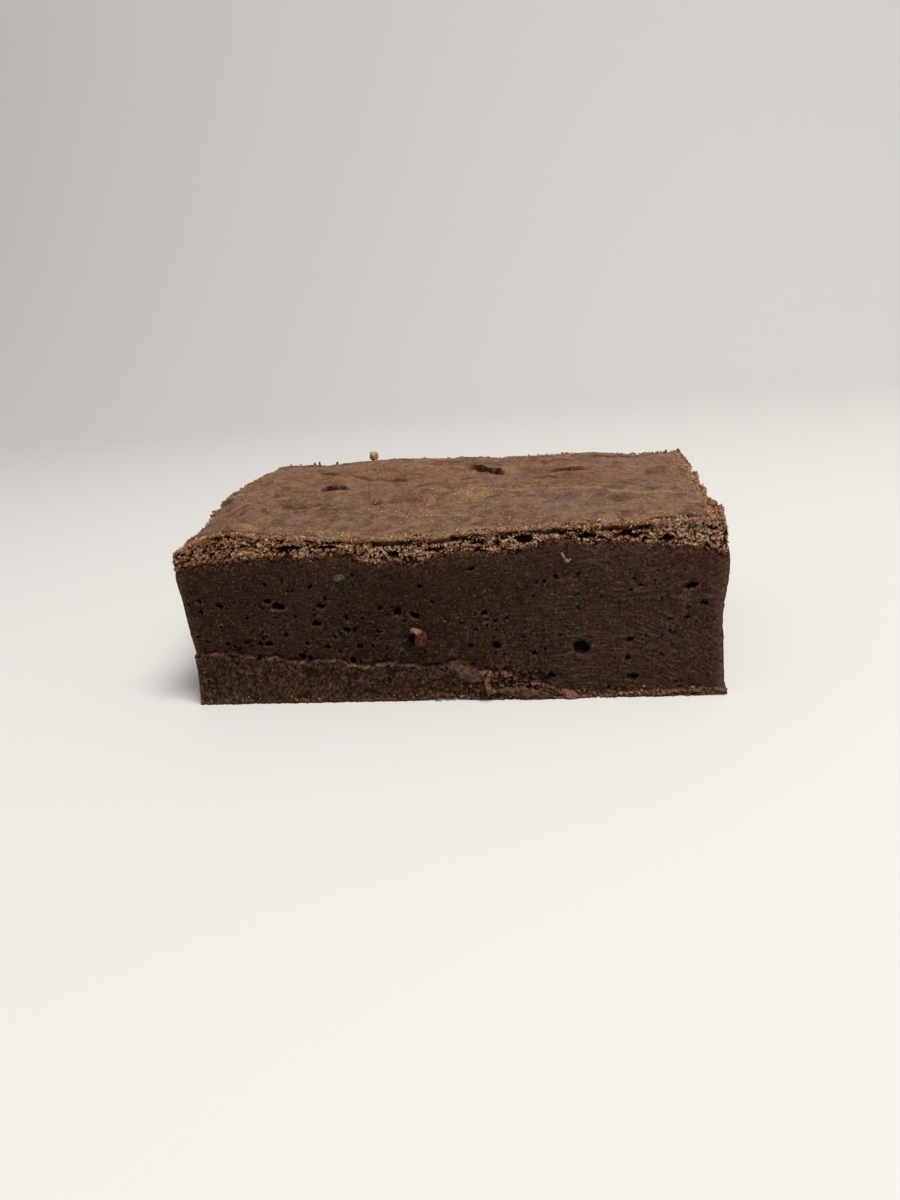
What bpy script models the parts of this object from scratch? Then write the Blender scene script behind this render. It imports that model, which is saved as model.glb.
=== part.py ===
"""A chocolate fudge brownie: one oblong portion cut from a tray bake, as one closed solid.

The block starts as a plain box. Its top edge follows four measured lines, its cut faces swell,
draw in and crumble, a crumbly crust band runs under the skin and a firm lip runs along the base.
The larger air pores, the slots under the skin and the tears in it are cut out, and the crumbs and
torn flakes that stick to the block are fused on.

All sizes here are in millimetres and turn into metres as each mesh is made. +X runs along the
front cut face, +Y runs from the front face to the back one and +Z is up. The origin is the middle
of the flat base.
"""
import math

import bmesh
import bpy
import numpy as np
from mathutils import Euler, Vector

MM = 0.001
NODE_NAME = "brownie"

# The block.
LENGTH = 90.0
DEPTH = 61.0
CRUST_DEPTH = 4.1

# Height of the skin along each top edge, as (place along the edge, height).
FRONT_EDGE = ((-45, 28.0), (-42, 29.5), (-36, 31.0), (-30, 30.3), (-22, 29.6), (-9, 28.7),
              (0, 28.7), (6, 29.1), (30, 29.3), (45, 29.4))
BACK_EDGE = ((-45, 31.8), (-32, 31.3), (-23, 31.6), (-11, 31.5), (-1, 31.0), (5, 30.7),
             (14, 30.7), (24, 30.6), (34, 29.9), (45, 29.8))
LEFT_EDGE = ((-30.5, 28.0), (-26, 28.1), (-17, 29.3), (-9, 30.9), (0, 31.7), (14, 31.9),
             (24, 31.3), (30.5, 31.8))
RIGHT_EDGE = ((-30.5, 29.4), (-10, 29.2), (10, 29.4), (22, 29.8), (30.5, 29.3))

# The skin rises from its edges to the middle, and rolls in low waves.
SKIN_RISE = 0.8
SKIN_RISE_WIDTH = 2.4
SKIN_WAVE = 0.55
SKIN_WAVE_LENGTH = 15.0
SKIN_WRINKLE = 0.28
SKIN_WRINKLE_LENGTH = 5.5

# The cut faces, from the base up: (height, how far the face stands out).
SIDE_PROFILES = {
    "front": ((0, 0.0), (12, -0.1), (24, 0.15), (30, 0.0)),
    "right": ((0, -0.2), (8, -0.3), (14.5, -0.3), (18, 0.2), (21.6, 0.6), (26, 0.1), (30, -1.1)),
    "back": ((0, 0.1), (10, -0.2), (18, 0.2), (23, 0.6), (27, 0.3), (32, 0.0)),
    "left": ((0, 0.1), (9.6, -0.25), (15, 0.25), (19, 0.4), (24.5, 0.8), (28, 0.4), (32, 0.2)),
}
SIDES = ("front", "right", "back", "left")
SIDE_SEED = {"front": 10, "right": 20, "back": 30, "left": 40}
FACE_WAVE = 0.22
FACE_WAVE_LENGTH = 18.0
CRAG_DEPTH = {"front": 0.3, "right": 0.5, "back": 0.6, "left": 0.5}
CRAG_LENGTH = 3.0
CRAG_HEIGHT = 1.8
RIGHT_STEP = 0.7
RIGHT_STEP_SPAN = (-28.0, -21.5)
LEFT_SWELL = 0.5

# The line where the crust band meets the fudge, and the ledge of the firm base lip.
FRONT_BAND = ((-45, 24.5), (-42, 25.4), (-35, 26.0), (-26, 26.2), (-20, 25.9), (-15, 26.4), (-12, 24.7),
              (-7, 24.8), (-4, 24.0), (0, 25.3), (13, 25.6), (19, 27.0), (22, 26.7), (24, 25.9),
              (29, 26.4), (35, 25.4), (42, 24.4), (45, 23.0))
FRONT_LIP = ((-45, 9.6), (-36, 8.9), (-33.5, 8.1), (-30.5, 8.4), (-28.5, 7.6), (-19, 7.6), (-16, 6.5),
             (-10, 6.6), (-3, 5.9), (0, 6.2), (2, 7.0), (5, 5.2), (9, 4.6), (14, 3.0), (20, 0.9), (32, 0.7),
             (45, 1.0))
FRONT_BASE = ((-45, 0.0), (-9, 0.0), (-5.8, 0.2), (-0.2, 1.0), (3, 0.26), (7, 0.0), (36, 0.0),
              (45, 0.5))
LIP_LINES = {"front": FRONT_LIP, "right": ((-30.5, 1.0), (-20, 3.2), (2, 4.6), (30.5, 6.0)),
             "back": ((-45, 8.0), (-12, 6.2), (16, 6.8), (45, 6.0)),
             "left": ((-30.5, 9.5), (-8, 7.9), (12, 8.6), (30.5, 8.0))}
LIP_STEP = {"front": 0.5, "right": 0.2, "back": 0.35, "left": 0.15}
LIP_EDGE = 0.25

# The faces are a net of quads: cells along X and Y, and rows up each side, as shares of the
# height from the base to the lip, from the lip to the crust band and from there to the skin.
CELLS_X = 48
CELLS_Y = 33
LIP_ROWS = (0.0, 0.4)
FUDGE_ROWS = (0.3, 0.62, 0.92)
BAND_ROWS = (0.0, 0.22, 0.45, 0.68, 0.86, 1.0)
BASE_INSET = 1.2

# Air pores in the front face: (x, z, width, height, tilt in degrees).
FRONT_PORES = (
    (22.2, 8.6, 3.0, 2.0, -20), (-28.3, 17.7, 2.3, 1.3, 0), (39.6, 18.5, 2.1, 1.0, 20),
    (-21.9, 14.4, 1.8, 1.0, 15), (-16.8, 13.1, 1.5, 0.9, -10), (-20.8, 17.5, 1.4, 0.9, 0),
    (8.3, 9.4, 1.5, 1.2, 0), (30.5, 3.3, 1.8, 0.9, 0), (17.2, 3.9, 1.8, 0.8, 0),
    (-4.8, 15.2, 1.5, 1.2, -35), (-31.2, 11.0, 1.4, 0.9, 10), (-25.5, 8.4, 1.3, 1.2, 0),
)
PORE_DEPTH = 1.6
PORES_PER_HIDDEN_SIDE = 3

# Slots under the skin, in the crust band of the front face: (x, z, width, height).
FRONT_SLOTS = (
    (-25.4, 27.9, 3.0, 0.8), (-25.3, 26.3, 1.8, 0.7), (-18.6, 27.7, 3.8, 0.6),
    (-7.1, 25.8, 2.0, 1.1), (-0.6, 26.5, 3.2, 0.7), (6.6, 27.2, 2.2, 0.8),
    (9.6, 27.2, 1.2, 0.7), (14.1, 27.6, 3.1, 1.5), (20.1, 27.9, 1.2, 0.7),
    (23.8, 27.5, 3.3, 1.1), (29.7, 27.3, 4.6, 0.7), (35.9, 26.5, 2.4, 1.0),
)
SLOT_DEPTH = 2.2
SLOTS_PER_HIDDEN_SIDE = 4

# Tears in the skin: (x, y, length, width, turn in degrees).
SKIN_TEARS = ((-22.7, -5.0, 6.4, 1.4, 10), (4.6, 8.6, 13.0, 2.0, -52), (21.7, 6.0, 8.8, 0.9, 6))
TEAR_DEPTH = 1.3

# Crumbs and torn flakes that stick to the block: (x, y, z, size along x, y and z, tilt).
STUCK_PIECES = (
    (-4.5, -30.7, 11.8, 2.4, 1.6, 3.0, 12),
    (-23.6, 29.9, 32.8, 1.9, 1.7, 2.2, 0),
    (-45.8, 10.8, 31.5, 1.8, 2.2, 1.3, 0),
    (-45.3, -11.2, 30.4, 1.4, 1.7, 1.1, 0),
    (6.5, -31.0, 3.4, 1.4, 1.8, 4.2, -4),
    (12.6, -31.0, 1.2, 9.6, 1.7, 1.9, -6),
    (2.8, -31.0, 4.9, 5.8, 1.4, 2.5, -26),
    (20.0, -31.0, 0.9, 2.8, 1.8, 1.3, -14),
    (43.9, -21.4, 29.1, 1.9, 2.4, 1.8, 0),
    (-43.6, -30.2, 27.9, 2.2, 2.2, 1.8, 0),
)
EDGE_LUMPS = 11
LUMP_SIZE = (1.0, 1.7)
LUMP_JITTER = 0.12
FINE_LUMP = 2.5
SEED = 7


def smooth_step(value, low, high):
    """Goes from 0 at low to 1 at high, with no corner at either end."""
    share = np.clip((value - low) / (high - low), 0.0, 1.0)
    return share * share * (3.0 - 2.0 * share)


def curve(points, at):
    """A smooth line through (place, value) points, read at the places given."""
    place, value = np.array(points, dtype=float).T
    slope = np.gradient(value, place)
    right = np.clip(np.searchsorted(place, at), 1, len(place) - 1)
    left = right - 1
    width = place[right] - place[left]
    t = np.clip((at - place[left]) / width, 0.0, 1.0)
    start = (2 * t ** 3 - 3 * t ** 2 + 1) * value[left] + (t ** 3 - 2 * t ** 2 + t) * width * slope[left]
    end = (3 * t ** 2 - 2 * t ** 3) * value[right] + (t ** 3 - t ** 2) * width * slope[right]
    return start + end


def lattice(column, row, seed):
    """A steady random number from -1 to 1 for each point of a whole-number grid."""
    mixed = column.astype(np.int64) * 374761393 + row.astype(np.int64) * 668265263 + seed * 974711
    mixed = (mixed ^ (mixed >> 13)) * 1274126177
    mixed = mixed ^ (mixed >> 16)
    return (mixed & 0xFFFFFF) / 0x7FFFFF - 1.0


def noise(u, v, seed):
    """Smooth random waves about one unit long, from -1 to 1."""
    u, v = np.broadcast_arrays(np.asarray(u, dtype=float), np.asarray(v, dtype=float))
    column, row = np.floor(u), np.floor(v)
    across, up = smooth_step(u - column, 0.0, 1.0), smooth_step(v - row, 0.0, 1.0)
    low = lattice(column, row, seed) * (1 - across) + lattice(column + 1, row, seed) * across
    high = lattice(column, row + 1, seed) * (1 - across) + lattice(column + 1, row + 1, seed) * across
    return low * (1 - up) + high * up


def skin_height(x, y):
    """Height of the top skin over a point of the plain block."""
    a, b = x / LENGTH + 0.5, y / DEPTH + 0.5
    front, back = curve(FRONT_EDGE, x), curve(BACK_EDGE, x)
    left, right = curve(LEFT_EDGE, y), curve(RIGHT_EDGE, y)
    corners = ((FRONT_EDGE[0][1] * (1 - a) + FRONT_EDGE[-1][1] * a) * (1 - b)
               + (BACK_EDGE[0][1] * (1 - a) + BACK_EDGE[-1][1] * a) * b)
    height = front * (1 - b) + back * b + left * (1 - a) + right * a - corners
    to_edge = np.minimum(LENGTH / 2 - np.abs(x), DEPTH / 2 - np.abs(y))
    inside = 1.0 - np.exp(-np.maximum(to_edge, 0.0) / SKIN_RISE_WIDTH)
    waves = SKIN_WAVE * noise(x / SKIN_WAVE_LENGTH, y / SKIN_WAVE_LENGTH, SEED)
    wrinkles = SKIN_WRINKLE * noise(x / SKIN_WRINKLE_LENGTH, y / SKIN_WRINKLE_LENGTH, SEED + 1)
    return height + inside * (SKIN_RISE + waves + wrinkles)


def edge_height(side, along):
    """Height of the skin at the top edge of a cut face."""
    lines = {"front": FRONT_EDGE, "right": RIGHT_EDGE, "back": BACK_EDGE, "left": LEFT_EDGE}
    return curve(lines[side], along)


def band_height(side, along):
    """Height at which the crumbly crust band of a cut face starts."""
    if side == "front":
        return curve(FRONT_BAND, along)
    return edge_height(side, along) - CRUST_DEPTH + 0.8 * noise(along / 6.0, 0.5, SIDE_SEED[side])


def lip_height(side, along):
    """Height of the ledge that the firm base lip makes on a cut face."""
    return curve(LIP_LINES[side], along)


def base_height(side, along):
    """How far the bottom edge of a cut face is torn away upwards."""
    if side == "front":
        return np.maximum(curve(FRONT_BASE, along), 0.0)
    return 0.25 * np.maximum(noise(along / 5.0, 6.5, SIDE_SEED[side]), 0.0)


def swell(side, along, z):
    """How far a cut face stands out from its flat plane."""
    seed = SIDE_SEED[side]
    band, lip = band_height(side, along), lip_height(side, along)
    in_band = smooth_step(z, band - 0.3, band + 0.7)
    out = curve(SIDE_PROFILES[side], z)
    out = out + FACE_WAVE * noise(along / FACE_WAVE_LENGTH, z / FACE_WAVE_LENGTH, seed + 1)
    out = out + CRAG_DEPTH[side] * in_band * noise(along / CRAG_LENGTH, z / CRAG_HEIGHT, seed + 2)
    out = out + LIP_STEP[side] * (1.0 - smooth_step(z, lip - LIP_EDGE, lip + LIP_EDGE))
    if side == "right":
        start, end = RIGHT_STEP_SPAN
        step = smooth_step(along, start - 1, start + 1) * (1.0 - smooth_step(along, end - 1, end + 1))
        out = out + RIGHT_STEP * in_band * step
    if side == "left":
        out = out + LEFT_SWELL * smooth_step(along, -18.0, -4.0) * smooth_step(z, 14.0, 24.0)
    return out


def spread(x, y, z):
    """Moves points of the plain block sideways, to where its uneven cut faces are."""
    a, b = x / LENGTH + 0.5, y / DEPTH + 0.5
    moved_x = (LENGTH / 2 + swell("right", y, z)) * a - (LENGTH / 2 + swell("left", y, z)) * (1 - a)
    moved_y = (DEPTH / 2 + swell("back", x, z)) * b - (DEPTH / 2 + swell("front", x, z)) * (1 - b)
    return np.stack([moved_x, moved_y, z], axis=-1)


def side_columns(side):
    """The places of the net's columns along one side, in the order that goes round the block."""
    cells, size = (CELLS_X, LENGTH) if side in ("front", "back") else (CELLS_Y, DEPTH)
    along = (np.arange(cells) / cells - 0.5) * size
    return along if side in ("front", "right") else -along


def block_point(side, along):
    """The x and y of a place along one side of the plain block."""
    edge = np.full_like(along, 0.5)
    return {"front": (along, -DEPTH * edge), "right": (LENGTH * edge, along),
            "back": (along, DEPTH * edge), "left": (-LENGTH * edge, along)}[side]


def side_rows(side, along):
    """The heights of the net's rows over each column of one side, from the base to the skin."""
    base, lip = base_height(side, along), lip_height(side, along)
    band, skin = band_height(side, along), edge_height(side, along)
    ledge, above = np.maximum(lip - LIP_EDGE, base + 0.1), np.maximum(lip + LIP_EDGE, base + 0.5)
    rows = [base + (ledge - base) * share for share in LIP_ROWS] + [ledge, above]
    rows += [above + (band - above) * share for share in FUDGE_ROWS]
    rows += [band + (skin - band) * share for share in BAND_ROWS]
    return np.array(rows)


def new_object(name, mesh):
    made = bpy.data.objects.new(name, mesh)
    bpy.context.scene.collection.objects.link(made)
    return made


def block_mesh():
    """The uneven block: a ring of side columns, a net of cells for the skin and a flat base."""
    rings = []
    for side in SIDES:
        along = side_columns(side)
        x, y = block_point(side, along)
        heights = side_rows(side, along)
        rings.append(spread(np.broadcast_to(x, heights.shape), np.broadcast_to(y, heights.shape), heights))
    ring = np.concatenate(rings, axis=1)

    work = bmesh.new()
    sides = [[work.verts.new(point * MM) for point in row] for row in ring]
    count = len(sides[0])
    for low, high in zip(sides, sides[1:]):
        for i in range(count):
            j = (i + 1) % count
            work.faces.new((low[i], low[j], high[j], high[i]))

    def rim(i, j):
        """The vertex of the top ring at column i, row j of the skin's net, where it has one."""
        if j == 0:
            return sides[-1][i]
        if i == CELLS_X:
            return sides[-1][CELLS_X + j]
        if j == CELLS_Y:
            return sides[-1][CELLS_X + CELLS_Y + CELLS_X - i]
        if i == 0:
            return sides[-1][2 * CELLS_X + CELLS_Y + CELLS_Y - j]
        return None

    columns = (np.arange(CELLS_X + 1) / CELLS_X - 0.5) * LENGTH
    lines = (np.arange(CELLS_Y + 1) / CELLS_Y - 0.5) * DEPTH
    x, y = np.meshgrid(columns, lines, indexing="ij")
    top = spread(x, y, skin_height(x, y))
    net = [[rim(i, j) or work.verts.new(top[i, j] * MM) for j in range(CELLS_Y + 1)]
           for i in range(CELLS_X + 1)]
    for i in range(CELLS_X):
        for j in range(CELLS_Y):
            work.faces.new((net[i][j], net[i + 1][j], net[i + 1][j + 1], net[i][j + 1]))

    floor = []
    for vertex in sides[0]:
        inward = Vector((1 - 2 * BASE_INSET / LENGTH, 1 - 2 * BASE_INSET / DEPTH, 0.0))
        floor.append(work.verts.new(vertex.co * inward))
    for i in range(count):
        j = (i + 1) % count
        work.faces.new((floor[i], floor[j], sides[0][j], sides[0][i]))
    work.faces.new(list(reversed(floor)))
    mesh = bpy.data.meshes.new(NODE_NAME)
    work.to_mesh(mesh)
    work.free()
    return mesh


def lump(centre, size, turn, draw, group):
    """An uneven pebble, used both to cut a hollow and as a crumb. Sizes are full widths."""
    work = bmesh.new()
    bmesh.ops.create_icosphere(work, subdivisions=2 if max(size) > FINE_LUMP else 1, radius=0.5)
    for vertex in work.verts:
        vertex.co *= 1.0 + draw.uniform(-LUMP_JITTER, LUMP_JITTER)
        vertex.co = vertex.co * Vector(size)
    bmesh.ops.rotate(work, verts=work.verts, matrix=Euler(turn).to_matrix())
    bmesh.ops.translate(work, verts=work.verts, vec=Vector(centre))
    bmesh.ops.scale(work, verts=work.verts, vec=(MM, MM, MM))
    mesh = bpy.data.meshes.new("lump")
    work.to_mesh(mesh)
    work.free()
    made = bpy.data.objects.new("lump", mesh)
    group.objects.link(made)
    made.hide_render = True
    made.display_type = "WIRE"


def cut_hollows(draw, group):
    """Makes the shapes of the pores, the slots under the skin and the tears in it."""
    def hollow(side, along, z, width, height, depth, tilt):
        x, y = block_point(side, np.array([along]))
        on_face = spread(x, y, np.array([z]))[0]
        across = side in ("front", "back")
        size = (width, depth, height) if across else (depth, width, height)
        turn = (0.0, -math.radians(tilt), 0.0) if across else (math.radians(tilt), 0.0, 0.0)
        lump(on_face, size, turn, draw, group)

    for x, z, width, height, tilt in FRONT_PORES:
        hollow("front", x, z, width, height, PORE_DEPTH, tilt)
    for x, z, width, height in FRONT_SLOTS:
        hollow("front", x, z, width, height, SLOT_DEPTH, 0.0)
    for side in SIDES[1:]:
        reach = (LENGTH if side == "back" else DEPTH) / 2 - 4.0
        for i in range(PORES_PER_HIDDEN_SIDE):
            along = reach * (2 * (i + draw.uniform(0.2, 0.8)) / PORES_PER_HIDDEN_SIDE - 1)
            hollow(side, along, draw.uniform(10.5, 20.0), draw.uniform(1.2, 2.4), draw.uniform(0.8, 1.5),
                   PORE_DEPTH, draw.uniform(-25, 25))
        for i in range(SLOTS_PER_HIDDEN_SIDE):
            along = reach * (2 * (i + draw.uniform(0.25, 0.75)) / SLOTS_PER_HIDDEN_SIDE - 1)
            z = edge_height(side, np.array([along]))[0] - draw.uniform(1.5, 2.6)
            hollow(side, along, z, draw.uniform(1.8, 4.6), draw.uniform(0.7, 1.1), SLOT_DEPTH, 0.0)
    for x, y, length, width, turn in SKIN_TEARS:
        at = np.array([x]), np.array([y])
        lump(spread(*at, skin_height(*at))[0], (length, width, TEAR_DEPTH), (0.0, 0.0, math.radians(turn)),
             draw, group)


def stick_crumbs(draw, group):
    """Makes the crumbs and torn flakes, and small lumps here and there along the top edges."""
    for x, y, z, size_x, size_y, size_z, tilt in STUCK_PIECES:
        lump((x, y, z), (size_x, size_y, size_z), (0.0, -math.radians(tilt), 0.0), draw, group)
    lengths = {side: LENGTH if side in ("front", "back") else DEPTH for side in SIDES}
    around = sum(lengths.values())
    for i in range(EDGE_LUMPS):
        place = around * (i + draw.uniform(0.1, 0.9)) / EDGE_LUMPS
        for side in SIDES:
            if place < lengths[side]:
                break
            place -= lengths[side]
        along = np.array([place - lengths[side] / 2])
        z = edge_height(side, along) - draw.uniform(0.3, 1.2)
        centre = spread(*block_point(side, along), z)[0]
        size = [draw.uniform(*LUMP_SIZE) for _ in range(3)]
        lump(centre, size, (0.0, 0.0, draw.uniform(0.0, math.pi)), draw, group)


def boolean(target, operation, group):
    """Cuts or fuses a whole collection, bakes the result and removes the collection."""
    step = target.modifiers.new(operation.lower(), "BOOLEAN")
    step.operation = operation
    step.operand_type = "COLLECTION"
    step.collection = group
    step.solver = "MANIFOLD"
    graph = bpy.context.evaluated_depsgraph_get()
    result = bpy.data.meshes.new_from_object(target.evaluated_get(graph))
    target.modifiers.clear()
    target.data = result
    for helper in list(group.objects):
        bpy.data.objects.remove(helper, do_unlink=True)
    bpy.data.collections.remove(group)


def keep_main_body(mesh):
    """Drops the loose scraps and fills the sealed hollows that the cuts may leave."""
    work = bmesh.new()
    work.from_mesh(mesh)
    unseen = set(work.faces)
    bodies = []
    while unseen:
        body = [unseen.pop()]
        for face in body:
            near = {other for edge in face.edges for other in edge.link_faces} & unseen
            unseen -= near
            body.extend(near)
        bodies.append(body)
    bodies.sort(key=len)
    for scrap in bodies[:-1]:
        bmesh.ops.delete(work, geom=scrap, context="FACES")
    work.to_mesh(mesh)
    work.free()


def new_group(name):
    group = bpy.data.collections.new(name)
    bpy.context.scene.collection.children.link(group)
    return group


def brownie_material():
    material = bpy.data.materials.new("dark_fudge")
    material.use_nodes = True
    shader = material.node_tree.nodes["Principled BSDF"]
    shader.inputs["Base Color"].default_value = (0.052, 0.026, 0.014, 1.0)
    shader.inputs["Roughness"].default_value = 0.7
    shader.inputs["Metallic"].default_value = 0.0
    return material


def build():
    for old in list(bpy.data.objects):
        bpy.data.objects.remove(old, do_unlink=True)
    draw = np.random.default_rng(SEED)
    brownie = new_object(NODE_NAME, block_mesh())
    hollows = new_group("hollows")
    cut_hollows(draw, hollows)
    boolean(brownie, "DIFFERENCE", hollows)
    crumbs = new_group("crumbs")
    stick_crumbs(draw, crumbs)
    boolean(brownie, "UNION", crumbs)
    keep_main_body(brownie.data)
    brownie.data.name = NODE_NAME
    brownie.data.materials.clear()
    brownie.data.materials.append(brownie_material())
    brownie.data.shade_smooth()
    brownie.data.set_sharp_from_angle(angle=math.radians(35))


build()
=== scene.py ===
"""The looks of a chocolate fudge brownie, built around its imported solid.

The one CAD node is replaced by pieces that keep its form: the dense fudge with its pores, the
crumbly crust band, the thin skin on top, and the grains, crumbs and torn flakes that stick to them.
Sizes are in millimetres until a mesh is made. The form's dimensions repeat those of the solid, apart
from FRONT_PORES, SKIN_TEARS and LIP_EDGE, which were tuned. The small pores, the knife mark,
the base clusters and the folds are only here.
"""

import math

import bmesh
import bpy
import numpy as np
from mathutils import Euler, Matrix, Vector


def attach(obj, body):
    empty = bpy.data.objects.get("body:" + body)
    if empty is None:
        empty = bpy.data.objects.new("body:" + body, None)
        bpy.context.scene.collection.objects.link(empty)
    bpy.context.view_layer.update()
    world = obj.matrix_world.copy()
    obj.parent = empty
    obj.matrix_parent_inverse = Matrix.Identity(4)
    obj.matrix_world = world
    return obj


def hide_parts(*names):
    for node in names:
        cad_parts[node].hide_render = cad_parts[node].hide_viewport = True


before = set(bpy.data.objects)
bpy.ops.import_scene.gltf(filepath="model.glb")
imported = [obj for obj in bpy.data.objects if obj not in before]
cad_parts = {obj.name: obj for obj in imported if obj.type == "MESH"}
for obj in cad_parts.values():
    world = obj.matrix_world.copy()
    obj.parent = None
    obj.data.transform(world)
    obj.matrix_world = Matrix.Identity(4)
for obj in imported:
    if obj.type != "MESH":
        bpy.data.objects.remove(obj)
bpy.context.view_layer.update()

MM = 0.001
NODE = "brownie"
SEED = 7

# ---------------------------------------------------------------- the form

LENGTH = 90.0
DEPTH = 61.0
CRUST_DEPTH = 4.1
FRONT_EDGE = ((-45, 28.0), (-42, 29.5), (-36, 31.0), (-30, 30.3), (-22, 29.6), (-9, 28.7),
              (0, 28.7), (6, 29.1), (30, 29.3), (45, 29.4))
BACK_EDGE = ((-45, 31.8), (-32, 31.3), (-23, 31.6), (-11, 31.5), (-1, 31.0), (5, 30.7),
             (14, 30.7), (24, 30.6), (34, 29.9), (45, 29.8))
LEFT_EDGE = ((-30.5, 28.0), (-26, 28.1), (-17, 29.3), (-9, 30.9), (0, 31.7), (14, 31.9),
             (24, 31.3), (30.5, 31.8))
RIGHT_EDGE = ((-30.5, 29.4), (-10, 29.2), (10, 29.4), (22, 29.8), (30.5, 29.3))
EDGES = {"front": FRONT_EDGE, "right": RIGHT_EDGE, "back": BACK_EDGE, "left": LEFT_EDGE}
SKIN_RISE = 0.8
SKIN_RISE_WIDTH = 2.4
SKIN_WAVE = 0.55
SKIN_WAVE_LENGTH = 15.0
SKIN_WRINKLE = 0.28
SKIN_WRINKLE_LENGTH = 5.5
SIDE_PROFILES = {
    "front": ((0, 0.0), (12, -0.1), (24, 0.15), (30, 0.0)),
    "right": ((0, -0.2), (8, -0.3), (14.5, -0.3), (18, 0.2), (21.6, 0.6), (26, 0.1), (30, -1.1)),
    "back": ((0, 0.1), (10, -0.2), (18, 0.2), (23, 0.6), (27, 0.3), (32, 0.0)),
    "left": ((0, 0.1), (9.6, -0.25), (15, 0.25), (19, 0.4), (24.5, 0.8), (28, 0.4), (32, 0.2)),
}
SIDES = ("front", "right", "back", "left")
OUTWARD = {"front": (0, -1, 0), "right": (1, 0, 0), "back": (0, 1, 0), "left": (-1, 0, 0)}
SIDE_SEED = {"front": 10, "right": 20, "back": 30, "left": 40}
FACE_WAVE = 0.22
FACE_WAVE_LENGTH = 18.0
CRAG_DEPTH = {"front": 0.3, "right": 0.5, "back": 0.6, "left": 0.5}
CRAG_LENGTH = 3.0
CRAG_HEIGHT = 1.8
RIGHT_STEP = 0.7
RIGHT_STEP_SPAN = (-28.0, -21.5)
LEFT_SWELL = 0.5
FRONT_BAND = ((-45, 24.5), (-42, 25.4), (-35, 26.0), (-26, 26.2), (-20, 25.9), (-15, 26.4), (-12, 24.7),
              (-7, 24.8), (-4, 24.0), (0, 25.3), (13, 25.6), (19, 27.0), (22, 26.7), (24, 25.9),
              (29, 26.4), (35, 25.4), (42, 24.4), (45, 23.0))
FRONT_LIP = ((-45, 9.6), (-36, 8.9), (-33.5, 8.1), (-30.5, 8.4), (-28.5, 7.6), (-19, 7.6), (-16, 6.5),
             (-10, 6.6), (-3, 5.9), (0, 6.2), (2, 7.0), (5, 5.2), (9, 4.6), (14, 3.0), (20, 0.9), (32, 0.7),
             (45, 1.0))
FRONT_BASE = ((-45, 0.0), (-9, 0.0), (-5.8, 0.2), (-0.2, 1.0), (3, 0.26), (7, 0.0), (36, 0.0),
              (45, 0.5))
LIP_LINES = {"front": FRONT_LIP, "right": ((-30.5, 1.0), (-20, 3.2), (2, 4.6), (30.5, 6.0)),
             "back": ((-45, 8.0), (-12, 6.2), (16, 6.8), (45, 6.0)),
             "left": ((-30.5, 9.5), (-8, 7.9), (12, 8.6), (30.5, 8.0))}
LIP_STEP = {"front": 0.5, "right": 0.2, "back": 0.35, "left": 0.15}
LIP_EDGE = 0.14

# Pores and slots are (along, height, width, height of the mouth, tilt in degrees), as far as given.
FRONT_PORES = (
    (22.4, 8.6, 3.1, 2.2, -20), (-28.3, 17.7, 2.3, 1.3, 0), (39.6, 18.5, 2.1, 1.0, 20),
    (-21.9, 14.4, 1.8, 1.0, 15), (-16.8, 13.1, 1.5, 0.9, -10), (-20.8, 17.5, 1.4, 0.9, 0),
    (8.3, 9.4, 1.5, 1.2, 0), (30.5, 3.3, 1.8, 0.9, 0), (17.2, 3.9, 1.8, 0.8, 0),
    (-4.8, 15.2, 1.5, 1.2, -35), (-5.9, 10.9, 1.1, 2.4, 0), (-31.2, 11.0, 1.4, 0.9, 10),
    (-25.5, 8.4, 1.3, 1.2, 0),
)
SMALL_PORES = (
    (-30.0, 18.7, 1.1), (-38.6, 18.2, 1.1), (-42.1, 19.2, 1.0), (-42.1, 17.2, 0.9), (-22.1, 21.0, 0.9),
    (-26.1, 20.4, 0.6), (-10.5, 16.8, 0.9), (-7.7, 16.0, 1.6), (-15.5, 13.0, 0.9), (-11.7, 11.8, 0.8),
    (-32.9, 11.0, 1.2), (-27.8, 12.5, 1.0), (-24.3, 10.8, 0.9), (-20.9, 10.1, 1.1), (-15.1, 10.1, 1.2),
    (-24.2, 8.2, 1.0), (-38.8, 11.1, 0.8), (-37.6, 10.6, 0.7), (-42.4, 11.6, 0.6), (-34.9, 11.4, 0.7),
    (-16.6, 7.4, 1.3), (-39.1, 14.1, 0.6), (-13.8, 15.0, 0.7), (-8.6, 16.8, 0.6), (-3.7, 20.3, 0.9),
    (-33.5, 8.3, 0.9), (-16.6, 15.3, 0.9), (-26.7, 22.1, 0.6), (6.9, 15.2, 1.0), (8.6, 13.7, 0.8),
    (10.5, 14.2, 0.7), (13.5, 13.2, 0.6), (7.2, 13.0, 0.6), (5.2, 12.3, 0.7), (4.0, 9.5, 0.8),
    (14.6, 7.9, 1.2), (19.1, 10.9, 0.6), (30.3, 9.7, 1.0), (29.8, 6.6, 1.1), (39.4, 13.2, 0.7),
    (36.8, 13.0, 0.7), (36.0, 16.8, 0.5), (33.9, 19.6, 0.5), (31.7, 18.8, 0.8), (16.5, 20.1, 0.7),
    (18.4, 20.9, 0.9), (5.1, 22.9, 1.2), (41.9, 15.6, 1.2), (30.7, 20.0, 0.7), (0.5, 14.3, 0.8),
)
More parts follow.
